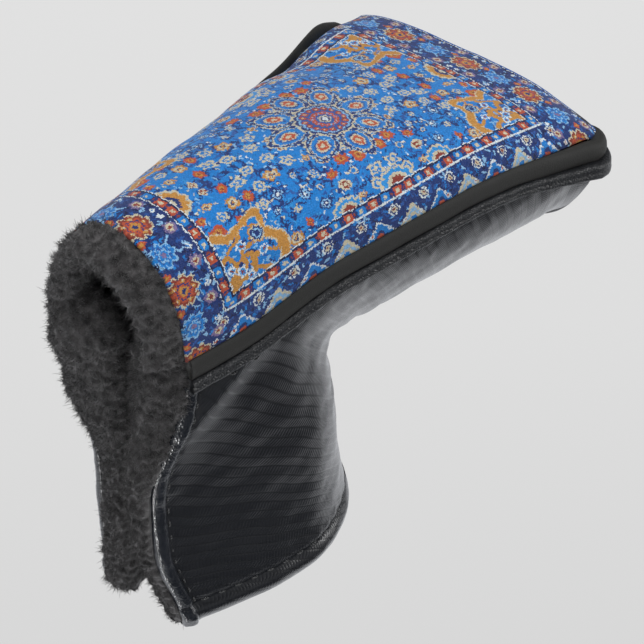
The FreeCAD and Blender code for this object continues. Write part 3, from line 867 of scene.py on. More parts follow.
# ------------------------------------------------------------ trim roll and welt round the body
def rim_path(drop):
    """Closed at the heel ends: along the front trim line, round the toe, back along the other side.
    Gives points, outward directions and up directions."""
    x = HEEL_X + np.linspace(0, LENGTH - CORNER, 120)
    straight = np.stack([x, -body_half(x), trim_z(x)], -1)
    last = straight[-1]
    a = np.linspace(0, math.pi / 2, 12)[1:]
    bend = last + CORNER * np.stack([np.sin(a), 1 - np.cos(a), 0 * a], -1)
    half = np.concatenate([straight, bend])
    y = np.linspace(half[-1, 1], -half[-1, 1], 60)[1:-1]
    middle = np.stack([np.full_like(y, TOE_X), y, np.full_like(y, trim_z(TOE_X))], -1)
    path = np.concatenate([half, middle, mirror_y(half[::-1])])
    # the rim follows the low arch across the toe
    across = np.clip(np.abs(path[:, 1]) / TOE_HALF, 0, 1)
    rise = TOE_RISE * (1 - across ** ARCH_POWER) ** (1 / ARCH_POWER)
    near_toe = np.clip((path[:, 0] - (TOE_X - CORNER)) / CORNER, 0, 1)
    path[:, 2] += rise * near_toe - drop
    tangent = unit(np.gradient(path, axis=0))
    outward = unit(np.cross(tangent, np.array([0, 0, 1.0])))
    return path, outward, np.cross(outward, tangent)


def toe_share(path):
    """From 0 along the body to 1 at the toe, where the trim and the welt are fuller."""
    return np.clip((path[:, 0] - (TOE_X - 30)) / 30, 0, 1) ** 1.5


def toe_middle(path, low, high):
    """1 across the middle of the toe, 0 at its corners and along the sides."""
    return smooth_step(np.abs(path[:, 1]), TOE_HALF - low, TOE_HALF - high) * (path[:, 0] > TOE_X - 3)


def trim_roll():
    path, outward, up = rim_path(0.0)
    share = toe_share(path)[:, None]
    along = running(path[:, None], 0)
    x, y = path[:, 0], path[:, 1]
    rear = (smooth_step(x, 24, 58) * smooth_step(x, 90, 72) * (y > 0))[:, None]
    rear_corner = smooth_step(y, 20, 34) * smooth_step(x, 84, 91)
    low = np.maximum(toe_middle(path, 0.8, 5.0), rear_corner)[:, None]
    tall = TRIM_TALL + 0.8 * share + 0.08 * np.sin(along * 0.35) + 3.0 * rear - 1.4 * low
    inner, proud = -0.9, 1.35 + 3.1 * share + 0.2 * rear - 3.0 * low
    a = np.arange(20) * TURN / 20
    out = inner + (proud - inner) * (0.5 + 0.5 * np.cos(a)) ** 0.75
    high = -tall / 2 + 0.35 + (tall / 2 + 0.1) * np.sin(a) + 4.0 * rear - 2.2 * low
    obj = sweep("padded_trim_roll", path, outward, up, np.stack([out, high], -1), flip=True)
    dress(obj, TRIM, ["front_trim_band", "back_trim_band", "toe_trim_band"])


def welt():
    path, outward, up = rim_path(TRIM_TALL - 0.1)
    along = running(path[:, None], 0)[:, 0]
    shape = zip(toe_share(path), along, toe_middle(path, 0.6, 5.5))
    profile = []
    for share, s, low in shape:
        proud = 1.7 + 4.6 * share - 4.4 * low + 0.07 * math.sin(s * 0.9)
        tall = WELT_TALL * (1 + 0.35 * share)
        dent = 0.16 * hump((s + 3.5) % 7.0, 3.5, 0.9)
        # distances out from the proud face, and down as shares of the height
        ring = [(-0.8 - proud, 0.1 / tall), (-0.8, 0.0), (-0.3, 0.08), (-0.1, 0.2), (-0.05, 0.36),
                (-0.3 - dent, 0.5), (-0.1, 0.6), (0.0, 0.76), (-0.1, 0.9), (-0.45, 0.98), (-0.9, 1.0),
                (-0.8 - proud, 0.95)]
        profile.append([(proud + out, -down * tall) for out, down in ring])
    obj = sweep("leather_welt", path, outward, up, profile, flip=True)
    dress(obj, WELT, ["front_welt", "back_welt", "toe_welt"])


# ------------------------------------------------------------ side panels, with the bends of padded leather
def padding_folds(x, z, points, seed):
    """Folds that fan out from the inner turn, and long soft folds that cross the neck."""
    top = trim_z(x) - PANEL_DROP
    dx, dz = x - (TURN_X + 1), z - (TURN_Z + 1)
    away, angle = np.hypot(dx, dz), np.arctan2(dz, -dx)
    fan = np.sin(angle * 13 + waves(points, 12.0, seed + 2) * 2.2)
    cross = (x - HEEL_X) * 0.62 + z * 0.78
    neck = np.sin(cross / 7.6 + 0.9 * waves(points, 30.0, seed + 3))
    return 0.42 * fan * hump(away, INNER_RADIUS + 3, 9) * np.clip(from_seam(x, z) / 2.5, 0, 1) \
        + 0.55 * neck * np.clip((top - z) / 14, 0, 1) * np.clip(1 - (x - 10) / 25, 0, 1)


def sewn_lines(x, z, seed):
    """What the stitches of the hem and of the bound heel edge do to the leather."""
    near = x - HEEL_X
    pull = 0.5 + 0.5 * np.sin(x * TURN / 4.4 + seed)
    hem = -0.8 * hump(z, HEM_LINE, 0.55) + 0.85 * hump(z, 2.8, 2.2) \
        + 0.22 * pull * hump(z, HEM_LINE + 1.6, 1.6)
    edge = -0.45 * hump(near, EDGE_LINE, 0.5) + 0.35 * hump(near, 1.5, 1.2)
    return hem + edge + 0.07 * np.sin(z * TURN / 4.2) * hump(near, EDGE_LINE + 1.2, 1.3)


def gathers(x, z, points, seed):
    """Small folds that hang from the stitches of the welt."""
    down = trim_z(x) - PANEL_DROP - z
    gather = np.sin((x - 0.5 * down) * TURN / 5.2 + waves(points, 16.0, seed + 4))
    return 0.13 * gather * hump(down, 0, 15.0) * smooth_step(x, -12, 14) \
        + 0.12 * np.sin(x * TURN / 3.5) * hump(down, 0, 2.5)


def broad_ridge(x, z):
    """A ridge that runs from the welt down to the heel edge."""
    dx, dz = x + 26.5, z - 76.5
    along = dx * 0.69 + dz * 0.72
    off = dz * 0.69 - dx * 0.72 + 0.01 * along ** 2
    return 1.5 * hump(off, 0, 4.6) * smooth_step(along, -22, -6) * smooth_step(along, 20, 6)


def leather_relief(x, z, side):
    """How far the padded panel stands out from the plain shape."""
    seed = RELIEF_SEED[side]
    points = np.stack([x, 0 * x + seed * 40, z], -1)
    lift = 0.35 * waves(points, 17.0, seed) + 0.16 * waves(points, 6.0, seed + 1)
    lift += padding_folds(x, z, points, seed) + sewn_lines(x, z, seed) + gathers(x, z, points, seed)
    lift += broad_ridge(x, z)
    return lift * np.clip(from_seam(x, z) / 1.5, 0, 1)


def side_sheet(count=92):
    """Grid of a side panel in side view: from the heel edge round to the toe, and from the top down.
    The neck's columns end on its seam below the hem, the other columns on the seam under the body."""
    v = np.linspace(0, 1, count)
    neck_top = 18.0
    columns = []
    for u in np.linspace(0, 1, 64):
        near = u ** 4
        end = (HEEL_X + (spine_x(FOOT_Z) - HEEL_X) * ease(u), FOOT_Z)
        columns.append((HEEL_X + neck_top * u, end, v * (1 - near) + ease(v) * near))
    for u in np.linspace(0, 1, 150)[1:]:
        top_x = HEEL_X + neck_top + (LENGTH - neck_top) * (0.3 * u + 0.7 * u * u)
        columns.append((top_x, seam_point(u), ease(v)))
    sheet = []
    for top_x, (end_x, end_z), share in columns:
        top_z = trim_z(top_x) - PANEL_DROP
        sheet.append(np.stack([top_x + (end_x - top_x) * share, top_z + (end_z - top_z) * share], -1))
    return np.array(sheet)


def hem_clip(pts, normal):
    """Folds the part of a grid below the hem up on the inside."""
    z = pts[..., 2]
    low = z < 0
    inward = unit(-normal * np.array([1, 1, 0]), 1e-6)
    bend = np.clip(-z / 1.2, 0, 1)
    out = pts.copy()
    out[low] = (pts + inward * (1.5 * bend)[..., None])[low]
    out[..., 2] = np.where(low, -0.35 * np.sin(np.pi * bend) + np.clip(-z - 1.2, 0, None) * 0.7, z)
    return out


def leather_side(side):
    sheet = side_sheet()
    x, z = sheet[..., 0], sheet[..., 1]
    pts = np.stack([x, -side_half(x, z), z], -1)
    normal = normals_of(pts)
    if normal[40, 40, 1] > 0:
        normal = -normal
    pts = pts + normal * leather_relief(x, z, side)[..., None]
    pts[:, -1, 1] = np.minimum(pts[:, -1, 1], -0.02)
    pts = hem_clip(pts, normal)
    # the heel edge rolls in round the padding
    rolled = ((0.35, 0.15), (0.62, 0.55), (0.7, 1.05), (0.55, 1.5), (0.1, 1.8), (-1.6, 1.9), (-3.8, 1.9))
    ring = [pts[0] + np.array([-out, inward, 0]) for out, inward in rolled]
    full = for_side(np.concatenate([np.array(ring[::-1]), pts], 0), side)
    # the rows of the embossing run round the inner turn
    across, down = GRAIN_X - full[..., 0], full[..., 2] - GRAIN_Z
    uv = np.stack([-np.hypot(across, down), -GRAIN_REACH * np.arctan2(down, across)], -1)
    obj = grid_object(side + "_leather_panel", full, flip=side == "front", uv=uv)
    dress(obj, EMBOSS, [f"{side}_{part}" for part in (
        "side_panel", "flap_panel", "hem_facing", "flap_hem_facing")], flap=side)


def toe_low(side):
    """Height of the toe panel's lower edge; `side` runs from -1 at the front to 1 at the back."""
    near = np.clip((1 - np.abs(side)) * 1.15, 0, 1)
    return TRIM_TOE_Z - (TRIM_TOE_Z - SEAM_Z) * (1 - (1 - near) ** ROUND_POWER) ** (1 / ROUND_POWER)


def toe_cover():
    """Domed leather end, sewn to the side panels."""
    u, v = np.meshgrid(np.linspace(0, 1, 90), np.linspace(0, 1, 46), indexing="ij")
    side = 2 * u - 1
    edge = arch_point(1.0, u)
    start_z = edge[..., 2] - PANEL_DROP + 0.6
    end_z = np.minimum(toe_low(side), start_z - 4.0)
    y = edge[..., 1] * (1 - v) + TOE_HALF * side * v
    z = start_z * (1 - v) + end_z * v
    dome = (1 - np.abs(side) ** 3) * np.sin(np.pi * (0.12 + 0.88 * v)) ** 0.8
    pts = np.stack([TOE_X + 0.3 + 5.4 * dome, y, z], -1)
    pts[..., 0] += 0.3 * waves(pts, 14.0, 9) + 0.25 * np.sin(y * TURN / 5) * hump(v, 1, 0.12)
    # the rim turns in behind the side panels
    rim = pts[:, -1] + np.array([-0.9, 0, 0.5])
    inner_rim = pts[:, -1] * np.array([1, 0.97, 1]) + np.array([-2.5, 0, 1.4])
    full = np.concatenate([pts, rim[:, None], inner_rim[:, None]], 1)
    uv = np.stack([full[..., 1], -full[..., 2]], -1)
    dress(grid_object("toe_leather_panel", full, uv=uv, flip=True), EMBOSS, ["toe_panel"])


def toe_piping():
    """A narrow welt over the seam round the toe panel."""
    side = np.linspace(-1, 1, 110)
    line = np.stack([0 * side, TOE_HALF * side, np.minimum(toe_low(side), TRIM_TOE_Z + 0.6 - PANEL_DROP)], -1)
    out = unit(line - np.array([0, 0, TRIM_TOE_Z - 8]))
    line[:, 0] = TOE_X + 0.2
    along = np.repeat(np.array([[1.0, 0, 0]]), len(line), 0)
    ring = [(0.55 * math.cos(a) + 0.1, 0.8 * math.sin(a)) for a in np.arange(12) * TURN / 12]
    dress(sweep("toe_seam_piping", line, out, along, ring), WELT)


def leather_point(x, z, side, lift=0.0):
    """Points standing `lift` off the relief of a side panel, with their outward normals."""
    x, z = np.atleast_1d(x).astype(float), np.atleast_1d(z).astype(float)
    e = 0.3
    dx = (side_half(x + e, z) - side_half(x - e, z)) / (2 * e)
    dz = (side_half(x, z + e) - side_half(x, z - e)) / (2 * e)
    n = unit(np.stack([-dx, -np.ones_like(dx), -dz], -1))
    p = np.stack([x, -side_half(x, z), z], -1) + n * (leather_relief(x, z, side) + lift)[:, None]
    return for_side(p, side), for_side(n, side)


# ------------------------------------------------------------ sewn lines and the bound edge
def stitch_row(name, row, pitch, length, radius, replaces, flap=None):
    """Short plump stitches along a row of points and normals; their ends dive into the leather."""
    points, normals = row
    rings, corners, sink = 7, 8, 0.25
    run = running(points[:, None], 0)[:, 0]
    rise = np.sin(np.linspace(0, np.pi, rings))
    fat = radius * (0.45 + 0.55 * rise ** 0.6)
    turns = np.arange(corners) * TURN / corners
    verts, faces, uvs = [], [], []
    for k in range(int(run[-1] / pitch)):
        middle = (k + 0.5) * pitch
        span = np.linspace(middle - length / 2, middle + length / 2, rings)
        normal = read_at(span, run, normals)
        centre = read_at(span, run, points) + normal * (rise * (radius * 0.6 + sink) - sink)[:, None]
        cross = unit(np.cross(unit(np.gradient(centre, axis=0)), normal))
        base = len(verts)
        for i in range(rings):
            for a in turns:
                verts.append(centre[i] + fat[i] * (math.cos(a) * cross[i] + 0.8 * math.sin(a) * normal[i]))
                uvs.append((span[i], a * radius))
        faces += (grid_faces(rings, corners, wrap_v=True) + base).tolist()
        last = base + (rings - 1) * corners
        faces += [[base + corners - 1 - i for i in range(corners)], [last + i for i in range(corners)]]
    obj = mesh_object(name, verts, faces)
    add_uv(obj, uvs)
    dress(obj, THREAD, replaces, flap)


def sewn_rows(side):
    x = HEEL_X + (SPINE_HEM_X - HEEL_X) * ease(np.linspace(0.03, 0.97, 400))
    hem = leather_point(x, np.full(400, HEM_LINE), side, 0.15)
    stitch_row(side + "_hem_thread", hem, 4.4, 3.0, 0.42,
               [side + "_hem_stitches", side + "_flap_hem_stitches"],
               flap=side)
    z = np.linspace(6.0, trim_z(HEEL_X) - PANEL_DROP - 2, 300)
    edge = leather_point(np.full(300, HEEL_X + EDGE_LINE), z, side, 0.1)
    stitch_row(side + "_edge_thread", edge, 4.2, 2.5, 0.3, [side + "_flap_edge_stitches"], flap=side)
    x = np.linspace(HEEL_X + 2, TOE_X - 6, 400)
    below_welt = leather_point(x, trim_z(x) - PANEL_DROP - 1.55, side, 0.12)
    stitch_row(side + "_welt_thread", below_welt, 7.0, 2.2, 0.26, [side + "_welt_stitches"])


def edge_binding(side):
    """Folded glossy strip that finishes the heel edge: across the leather, round the edge and back inside."""
    z = np.linspace(-0.2, trim_z(HEEL_X) - PANEL_DROP + 0.3, 170)
    rows = []
    for out, dx in ((0.05, EDGE_LINE - 0.55), (0.42, EDGE_LINE - 0.75), (0.62, 2.1), (0.66, 1.3), (0.6, 0.5),
                    (0.42, 0.0), (0.1, -0.45), (-0.5, -0.85), (-1.2, -0.95), (-1.8, -0.7), (-2.1, 0.2)):
        p, n = leather_point(np.full(len(z), HEEL_X + max(dx, 0.0)), z, "front")
        wobble = 0.03 * np.sin(z * TURN / 4.2 + 0.5) + 0.10 * waves(p, 11.0, 21 + (side == "back"))
        p = p + n * (out + wobble * (out > 0))[:, None]
        p[:, 0] += min(dx, 0.0)
        rows.append(p)
    pts = for_side(np.array(rows).transpose(1, 0, 2), side)
    uv = np.stack([pts[..., 2], running(pts, 1)], -1)
    obj = grid_object(side + "_edge_binding", pts, flip=side == "back", uv=uv)
    solid = obj.modifiers.new("thickness", "SOLIDIFY")
    solid.thickness = 0.35 * MM
    solid.offset = -1
    dress(obj, EDGE, [side + "_edge_binding"], flap=side)


def spine_seam():
    """Raised sewn ridge where the two side panels meet, down the neck and under the body."""
    x, z = seam_point(np.linspace(0.054, 0.995, 260))
    line = np.stack([x, 0 * x, z], -1)
    tangent = unit(np.gradient(line, axis=0))
    outward = np.stack([tangent[:, 2], 0 * x, -tangent[:, 0]], -1)
    across = np.repeat(np.array([[0, 1.0, 0]]), len(line), 0)
    half = [(-0.9, -0.9), (0.12, -0.8), (0.42, -0.42), (0.3, -0.1)]
    ring = half + [(0.05, 0)] + [(out, -off) for out, off in reversed(half)]
    dress(sweep("spine_seam_ridge", line, outward, across, ring, flip=True), WELT)


# ------------------------------------------------------------ fleece
def clump_centres(pts, spacing, seed):
    """Points of a surface, thinned so that no two are closer than the spacing, and a tree to find them."""
    flat = pts.reshape(-1, 3)
    kept, cells = [], {}
    around = [(a, b, c) for a in (-1, 0, 1) for b in (-1, 0, 1) for c in (-1, 0, 1)]
    for i in np.random.default_rng(seed).permutation(len(flat)):
        p = flat[i]
        key = tuple((p // spacing).astype(int))
        near = [q for off in around for q in cells.get(tuple(k + o for k, o in zip(key, off)), ())]
        if all(sum((p - q) ** 2) >= spacing ** 2 for q in near):
            kept.append(p)
            cells.setdefault(key, []).append(p)
    tree = kdtree.KDTree(len(kept))
    for i, p in enumerate(kept):
        tree.insert(p, i)
    tree.balance()
    return tree, np.array(kept)


def popcorn(pts, normal, tree, spacing, height):
    """Lifts a fleece surface into soft curls round the clump centres."""
    off = np.array([tree.find(p)[2] for p in pts.reshape(-1, 3)]) / (spacing * 0.62)
    lift = np.maximum(0.0, 1 - off * off) ** 0.8 * height
    return pts + normal * lift.reshape(pts.shape[:-1])[..., None]


def fibre_roots(pts, normal, count, keep, pick):
    """Random places on a grid of points, evenly dense except where `keep` is low."""
    a = pts[:-1, :-1]
    area = np.linalg.norm(np.cross(pts[1:, :-1] - a, pts[:-1, 1:] - a), axis=-1)
    if keep is not None:
        area = area * keep[:-1, :-1]
    cell = pick.choice(area.size, count, p=(area / area.sum()).ravel())
    i, j = np.unravel_index(cell, area.shape)
    f, g = pick.random((2, count, 1))
    near_side = pts[i, j] * (1 - f) + pts[i + 1, j] * f
    far_side = pts[i, j + 1] * (1 - f) + pts[i + 1, j + 1] * f
    return near_side * (1 - g) + far_side * g, normal[i, j]


def fur(name, pts, normal, clumps, count, length, seed, flap=None, keep=None):
    """Curly tapered fibres, gathered into tufts at the clump centres."""
    tree, centres = clumps
    pick = np.random.default_rng(seed)
    root, up = fibre_roots(pts, normal, count, keep, pick)
    near = centres[[tree.find(p)[1] for p in root]]
    long = length * pick.uniform(0.55, 1.15, (count, 1))
    lean = near - root
    lean -= up * np.sum(lean * up, 1, keepdims=True)
    wild = pick.normal(0, 0.5, (count, 3))
    side = unit(np.cross(up, pick.normal(0, 1, (count, 3))), 1e-6)
    other = np.cross(up, side)
    turn = pick.uniform(2.2, 4.6, (count, 1))
    curl = pick.uniform(0.15, 0.4, (count, 1)) * length / 2.2
    radius = 0.055 * np.array([1.0, 1.1, 1.0, 0.75, 0.25])
    rings, corners = len(radius), 3
    line = np.empty((count, rings, 3))
    for k, s in enumerate(np.linspace(0, 1, rings)):
        at = root - up * 0.3 + up * long * (s * (1 - 0.25 * s)) + (lean * 0.55 + wild * long) * s ** 1.5
        spin = turn * s
        line[:, k] = at + curl * s ** 0.5 * (np.cos(spin) * side + np.sin(spin) * other) - curl * 0.3 * side
    tangent = unit(np.gradient(line, axis=1), 1e-9)
    across = unit(np.cross(tangent, side[:, None]), 1e-9)
    other = np.cross(tangent, across)
    a = (np.arange(corners) * TURN / corners)[None, None, :, None]
    ring = np.cos(a) * across[:, :, None] + np.sin(a) * other[:, :, None]
    verts = line[:, :, None] + radius[None, :, None, None] * ring
    start = (np.arange(count) * rings * corners)[:, None, None]
    last = (rings - 1) * corners
    quads = (grid_faces(rings, corners, wrap_v=True)[None] + start).reshape(-1, 4)
    caps = (np.array([[0, 2, 1], [last, last + 1, last + 2]])[None] + start).reshape(-1, 3)
    obj = mesh_object(name, verts.reshape(-1, 3), quads.tolist() + caps.tolist())
    dress(obj, FLEECE, flap=flap)


def closed_normals(pts, inside):
    """Normals of a tube of points, turned away from its inside."""
    n = normals_of(np.concatenate([pts[:, -1:], pts, pts[:, :1]], 1))[:, 1:-1]
    return -n if np.mean(np.sum(n * (pts - inside), -1)) < 0 else n


def closed(columns):
    """A grid with its first column repeated after its last."""
    return np.concatenate([columns, columns[:, :1]], 1)


def roll_surface(side, nz=230, na=64):
    """The fleece roll that shows along one side of the heel opening."""
    back = side == "back"
    z = np.linspace(-1.2, TRIM_HEEL_Z + 6.0, nz)
    a = np.arange(na) * TURN / na
    up = np.clip(z / TRIM_HEEL_Z, 0, 1)
    half_y = 1.9 + 4.9 * up ** 0.9 + (2.0 if back else 0.0)
    half_x = 2.3 + 3.4 * up ** 0.8 + (1.2 if back else 0.0)
    end = np.sqrt(np.clip((z - z[0]) / 3.0, 0, 1) * np.clip((z[-1] - z) / 9.0, 0, 1))
    centre_y = half_y - side_half(np.full(nz, HEEL_X), np.clip(z, 0, None)) + 0.9
    sway = 4.2 * hump(z, 40, 15) - 2.2 * hump(z, 84, 14) if back else 0.8 * np.sin(z / 13.0)
    centre_x = HEEL_X + 0.9 - 2.0 * up + sway
    shape = 1.0 + 0.06 * np.cos(2 * a)[None]
    x = centre_x[:, None] + (half_x * end)[:, None] * np.sin(a)[None] * shape
    y = centre_y[:, None] + (half_y * end)[:, None] * np.cos(a)[None] * shape
    pts = np.stack([x, y, np.repeat(z[:, None], na, 1)], -1)
    pts[0, :, 2] += 0.6
    return for_side(pts, side)


def fleece_roll(side):
    seed = 11 if side == "front" else 13
    pts = roll_surface(side)
    inside = pts.mean(1, keepdims=True)
    normal = closed_normals(pts, inside)
    pts = pts + normal * (0.9 * waves(pts, 8.0, seed))[..., None]
    normal = closed_normals(pts, inside)
    clumps = clump_centres(pts, CURL_SPACING, seed)
    curly = popcorn(pts, normal, clumps[0], CURL_SPACING, CURL_HEIGHT)
    # it lies flat against the leather low down and swells over the bound edge higher up
    x, z = curly[..., 0], curly[..., 2]
    wall = side_half(np.full_like(z, HEEL_X), np.clip(z, 0, None)) - 1.3 \
        + 3.0 * smooth_step(HEEL_X - 1.0 - x, 0, 3.0) + 3.4 * smooth_step(z, 50, 66)
    curly[..., 1] = np.clip(curly[..., 1], -wall, wall)
    obj = grid_object(side + "_fleece_roll", curly, flip=side == "back", tube=True)
    dress(obj, FLEECE, [side + "_flap_fleece_roll", side + "_collar_fleece"], flap=side)
    keep = (np.abs(closed(curly)[..., 1]) < closed(wall) - 1.3).astype(float) + 0.0001
    for part, more in (("a", 101), ("b", 202)):
        fur(f"{side}_roll_pile_{part}", closed(curly), closed(normal), clumps, 14000, PILE_LENGTH,
            seed + more, flap=side, keep=keep)


def collar():
    """Fleece that rolls out under the heel end of the printed arch."""
    thick = 4.0
    a = (np.arange(40) * TURN / 40)[:, None]
    rows = []
    for v in np.linspace(0.0, 1.0, 190):
        middle = arch_point(0.0, v, 5.0)
        out = unit((arch_point(0.0, v) - middle) * np.array([0, 1, 1]), 1e-6)
        rows.append(middle + np.array([-1.8, 0, 0]) + thick * 1.55 * np.sin(a) * np.array([-1.0, 0, 0])
                    + thick * np.cos(a) * out)
    pts = np.array(rows)
    normal = closed_normals(pts, pts.mean(1, keepdims=True))
    pts = pts + normal * (0.8 * waves(pts, 8.0, 17))[..., None]
    clumps = clump_centres(pts, CURL_SPACING, 19)
    curly = popcorn(pts, normal, clumps[0], CURL_SPACING, CURL_HEIGHT)
    dress(grid_object("arch_fleece_collar", curly, tube=True), FLEECE)
    fur("arch_collar_pile", closed(curly), closed(normal), clumps, 14000, PILE_LENGTH, 23)


def lining(side):
    """Fleece lining inside a side panel, thick and curly on its inner face."""
    outer_depth, inner_depth, spacing = 2.4, 8.6, 2.6
    sheet = side_sheet(100)
    x, z = sheet[..., 0], np.clip(sheet[..., 1], -0.8, None)
    outer, inner = [np.stack([x, -np.maximum(side_half(x, z, depth), 0.3), z], -1)
                    for depth in (outer_depth, inner_depth)]
    normal = normals_of(inner)
    if normal[30, 30, 1] < 0:
        normal = -normal
    inner = inner + normal * (0.7 * waves(inner, 6.0, 31))[..., None]
    tree, _ = clump_centres(inner[::2, ::2], spacing, 33)
    inner = popcorn(inner, normal, tree, spacing, CURL_HEIGHT)
    inner[..., 1] = np.minimum(inner[..., 1], -0.02)
    full = for_side(np.concatenate([outer, inner[:, ::-1]], 1), side)
    obj = grid_object(side + "_fleece_lining", full, flip=side == "front", tube=True)
    # the lining is in the darker copy of the fleece: painted shade inside the panel
    dress(obj, SHADED_FLEECE, [f"{side}_{part}" for part in (
        "side_fleece", "flap_fleece", "side_foam", "flap_foam")], flap=side)


def top_lining():
    u, v = np.meshgrid(np.linspace(-0.02, 0.98, 90), np.linspace(0.01, 0.99, 80), indexing="ij")
    outer, inner = arch_point(u, v, 1.1), arch_point(u, v, 8.2)
    bumps = 0.7 * waves(inner, 6.0, 41) + 0.5 * waves(inner, 2.4, 43)
    inner[..., 2] -= np.abs(bumps) * np.clip(arch_rise(HEEL_X + LENGTH * u) / 10, 0, 1)
    obj = grid_object("top_fleece_layer", np.concatenate([outer, inner[:, ::-1]], 1), tube=True)
    # the top layer is in the darker copy of the fleece: painted shade under the arch
    dress(obj, SHADED_FLEECE, ["top_fleece_lining", "top_foam"])


def hem_tufts(side):
    """Pile that shows below the hem."""
    spacing, around = 2.3, 20
    a = np.arange(around) * TURN / around
    x = (HEEL_X + (SPINE_HEM_X - 3.0 - HEEL_X) * ease(np.linspace(0.0, 1.0, 150)))[:, None]
    half = np.maximum(side_half(x, 0 * x, 3.6), 0.3)
    y = np.minimum(-(half - 1.8) - 2.4 * np.cos(a), -0.2)
    pts = for_side(np.stack([x + 0 * y, y, 0.2 + 1.9 * np.sin(a) + 0 * y], -1), side)
    normal = closed_normals(pts, pts.mean(1, keepdims=True))
    pts = pts + normal * (0.5 * waves(pts, 5.0, 51))[..., None]
    clumps = clump_centres(pts, spacing, 53)
    curly = popcorn(pts, normal, clumps[0], spacing, 0.9)
    obj = grid_object(side + "_hem_fleece", curly, flip=side == "back", tube=True)
    dress(obj, FLEECE, flap=side)
    keep = (closed(normal)[..., 2] < 0.45).astype(float) + 0.02
    fur(side + "_hem_pile", closed(curly), closed(normal), clumps, 7000, 1.2, 57, flap=side, keep=keep)


def magnets(side):
    """Two plated discs buried in the padding of a flap, near its heel edge."""
    low, high = node_box(side + "_flap_magnets")
    radius = (high[0] - low[0]) / 2
    thick, depth, bevel, corners = 1.2, 4.6, 0.25, 48
    rings = ((0.02, thick / 2), (radius - bevel, thick / 2), (radius, thick / 2 - bevel),
             (radius, bevel - thick / 2), (radius - bevel, -thick / 2), (0.02, -thick / 2))
    verts, faces, uvs = [], [], []
    for z in (low[2] + radius, high[2] - radius):
        centre, normal = [value[0] for value in leather_point((low[0] + high[0]) / 2, z, side)]
        across = unit(np.cross(normal, np.array([0, 0, 1.0])))
        upward = np.cross(across, normal)
        base = len(verts)
        for r, h in rings:
            for a in np.arange(corners) * TURN / corners:
                disc = r * (math.cos(a) * across + math.sin(a) * upward)
                verts.append(centre + normal * (h - depth) + disc)
                uvs.append((r * math.cos(a), r * math.sin(a)))
        last = base + corners * (len(rings) - 1)
        faces += (grid_faces(len(rings), corners, wrap_v=True) + base).tolist()
        faces += [[base + corners - 1 - i for i in range(corners)], [last + i for i in range(corners)]]
    obj = mesh_object(side + "_closing_magnets", verts, faces)
    add_uv(obj, uvs)
    obj.data.materials.append(METAL)
    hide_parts(side + "_flap_magnets")
    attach(obj, side + "_flap")


# ------------------------------------------------------------ studio
def area_light(name, place, size, power, target=(0.02, 0, 0.06), size_y=None):
    light = bpy.data.lights.new(name, "AREA")
    light.shape, light.energy, light.size, light.size_y = "RECTANGLE", power, size, size_y or size
    obj = bpy.data.objects.new(name, light)
    obj.location = place
    obj.rotation_euler = (Vector(target) - Vector(place)).to_track_quat("-Z", "Y").to_euler()
    bpy.context.scene.collection.objects.link(obj)
    return obj


def backdrop_material():
    """An even pale sheet to the camera. What the cover reflects is the sheet as lit from behind: bright
    behind the cover, and in shade in front of it."""
    n = Nodes("studio_backdrop")
    x, y, _ = n.split(n.node("NewGeometry").outputs["Position"])
    away = (x * 1.54 + y * 1.28) - 0.4 + n.noise(400.0) * 0.04
    seen, bounce = n.node("Emission"), n.node("Emission")
    shades = [(place, srgb(level, level, level)) for place, level in ((0.0, 215), (0.45, 222), (1.0, 225))]
    n.link(n.ramp(away, shades), seen.inputs[0])
    back = n.ramp(y * 1.25 + 0.9, [(place, grey(level)) for place, level in (
        (0.0, 0.35), (0.15, 0.30), (0.34, 0.02), (0.56, 0.015), (0.66, 0.12), (0.76, 1.0))])
    n.link(srgb(232, 234, 238), bounce.inputs[0])
    n.link(back * 1.65, bounce.inputs[1])
    choose = n.node("MixShader")
    n.tree.links.new(n.node("LightPath").outputs["Is Camera Ray"], choose.inputs[0])
    n.tree.links.new(bounce.outputs[0], choose.inputs[1])
    n.tree.links.new(seen.outputs[0], choose.inputs[2])
    n.tree.links.new(choose.outputs[0], n.tree.nodes["Material Output"].inputs[0])
    return n.mat


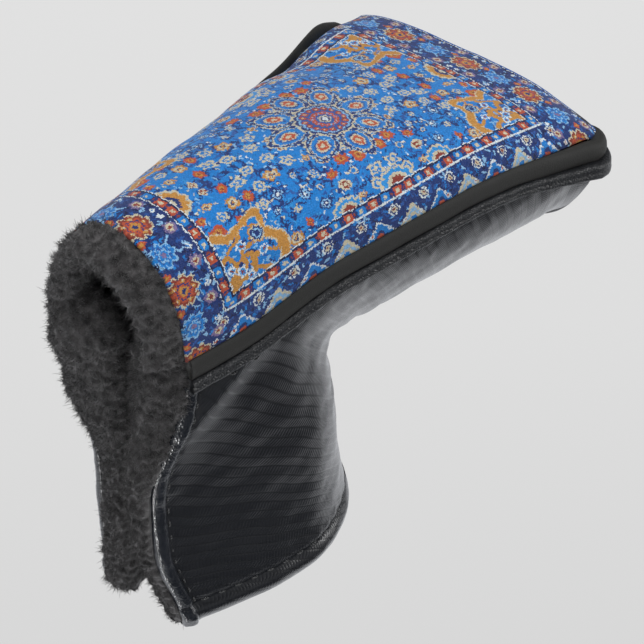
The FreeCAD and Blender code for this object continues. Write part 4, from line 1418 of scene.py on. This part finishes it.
def studio():
    size, floor_z = 6.0, -0.30
    square = np.array([(-size, -size, 0), (size, -size, 0), (size, size, 0), (-size, size, 0)]) / MM
    floor = mesh_object("studio_floor", square, [[0, 1, 2, 3]], soft=False)
    floor.location = (0, 0, floor_z)
    floor.data.materials.append(backdrop_material())
    world = bpy.data.worlds.new("studio_world")
    bpy.context.scene.world = world
    world.use_nodes = True
    background = world.node_tree.nodes["Background"]
    background.inputs[0].default_value = (*srgb(226, 227, 229), 1)
    background.inputs[1].default_value = 0.2
    area_light("key_light", (-0.35, -0.35, 1.05), 0.7, 7.0)
    area_light("top_light", (0.30, 0.25, 1.0), 0.6, 4.5)
    area_light("side_light", (0.70, -0.75, 0.10), 0.4, 4.0)
    # a low strip that draws the line of light on the bound heel edge
    strip = area_light("strip_light", (-0.31, -0.13, -0.27), 0.16, 1.0, size_y=0.022)
    strip.rotation_euler = (math.pi, 0, math.radians(22))
    strip.visible_camera = False
    bpy.context.scene.view_settings.view_transform = "Standard"


def photo_camera():
    data = bpy.data.cameras.new("photo_camera")
    data.sensor_width, data.lens = 36.0, 134.2
    data.clip_start, data.clip_end = 0.01, 20
    look = Vector((0.576, 0.480, -0.662)).normalized()
    right = Vector((0.640, -0.768, 0.0)).normalized()
    turn = Matrix((right, right.cross(look), -look)).transposed().to_4x4()
    camera = bpy.data.objects.new("photo_camera", data)
    camera.matrix_world = Matrix.Translation((-0.3181, -0.2911, 0.4458)) @ turn
    bpy.context.scene.collection.objects.link(camera)
    bpy.context.scene.camera = camera


# ------------------------------------------------------------ build everything
for build in (printed_panel, trim_roll, welt, toe_cover, toe_piping, spine_seam):
    build()
for side_name in ("front", "back"):
    for build in (leather_side, sewn_rows, edge_binding, lining, fleece_roll, hem_tufts, magnets):
        build(side_name)
top_lining()
collar()

# the inner pieces that keep their CAD shape: tape along the seam, and foam or fleece in the darker copy of
# the fleece, which is painted shade
for node_name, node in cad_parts.items():
    if not node.hide_render:
        node.data.materials.clear()
        node.data.materials.append(TAPE if "tape" in node_name else SHADED_FLEECE)

studio()
photo_camera()
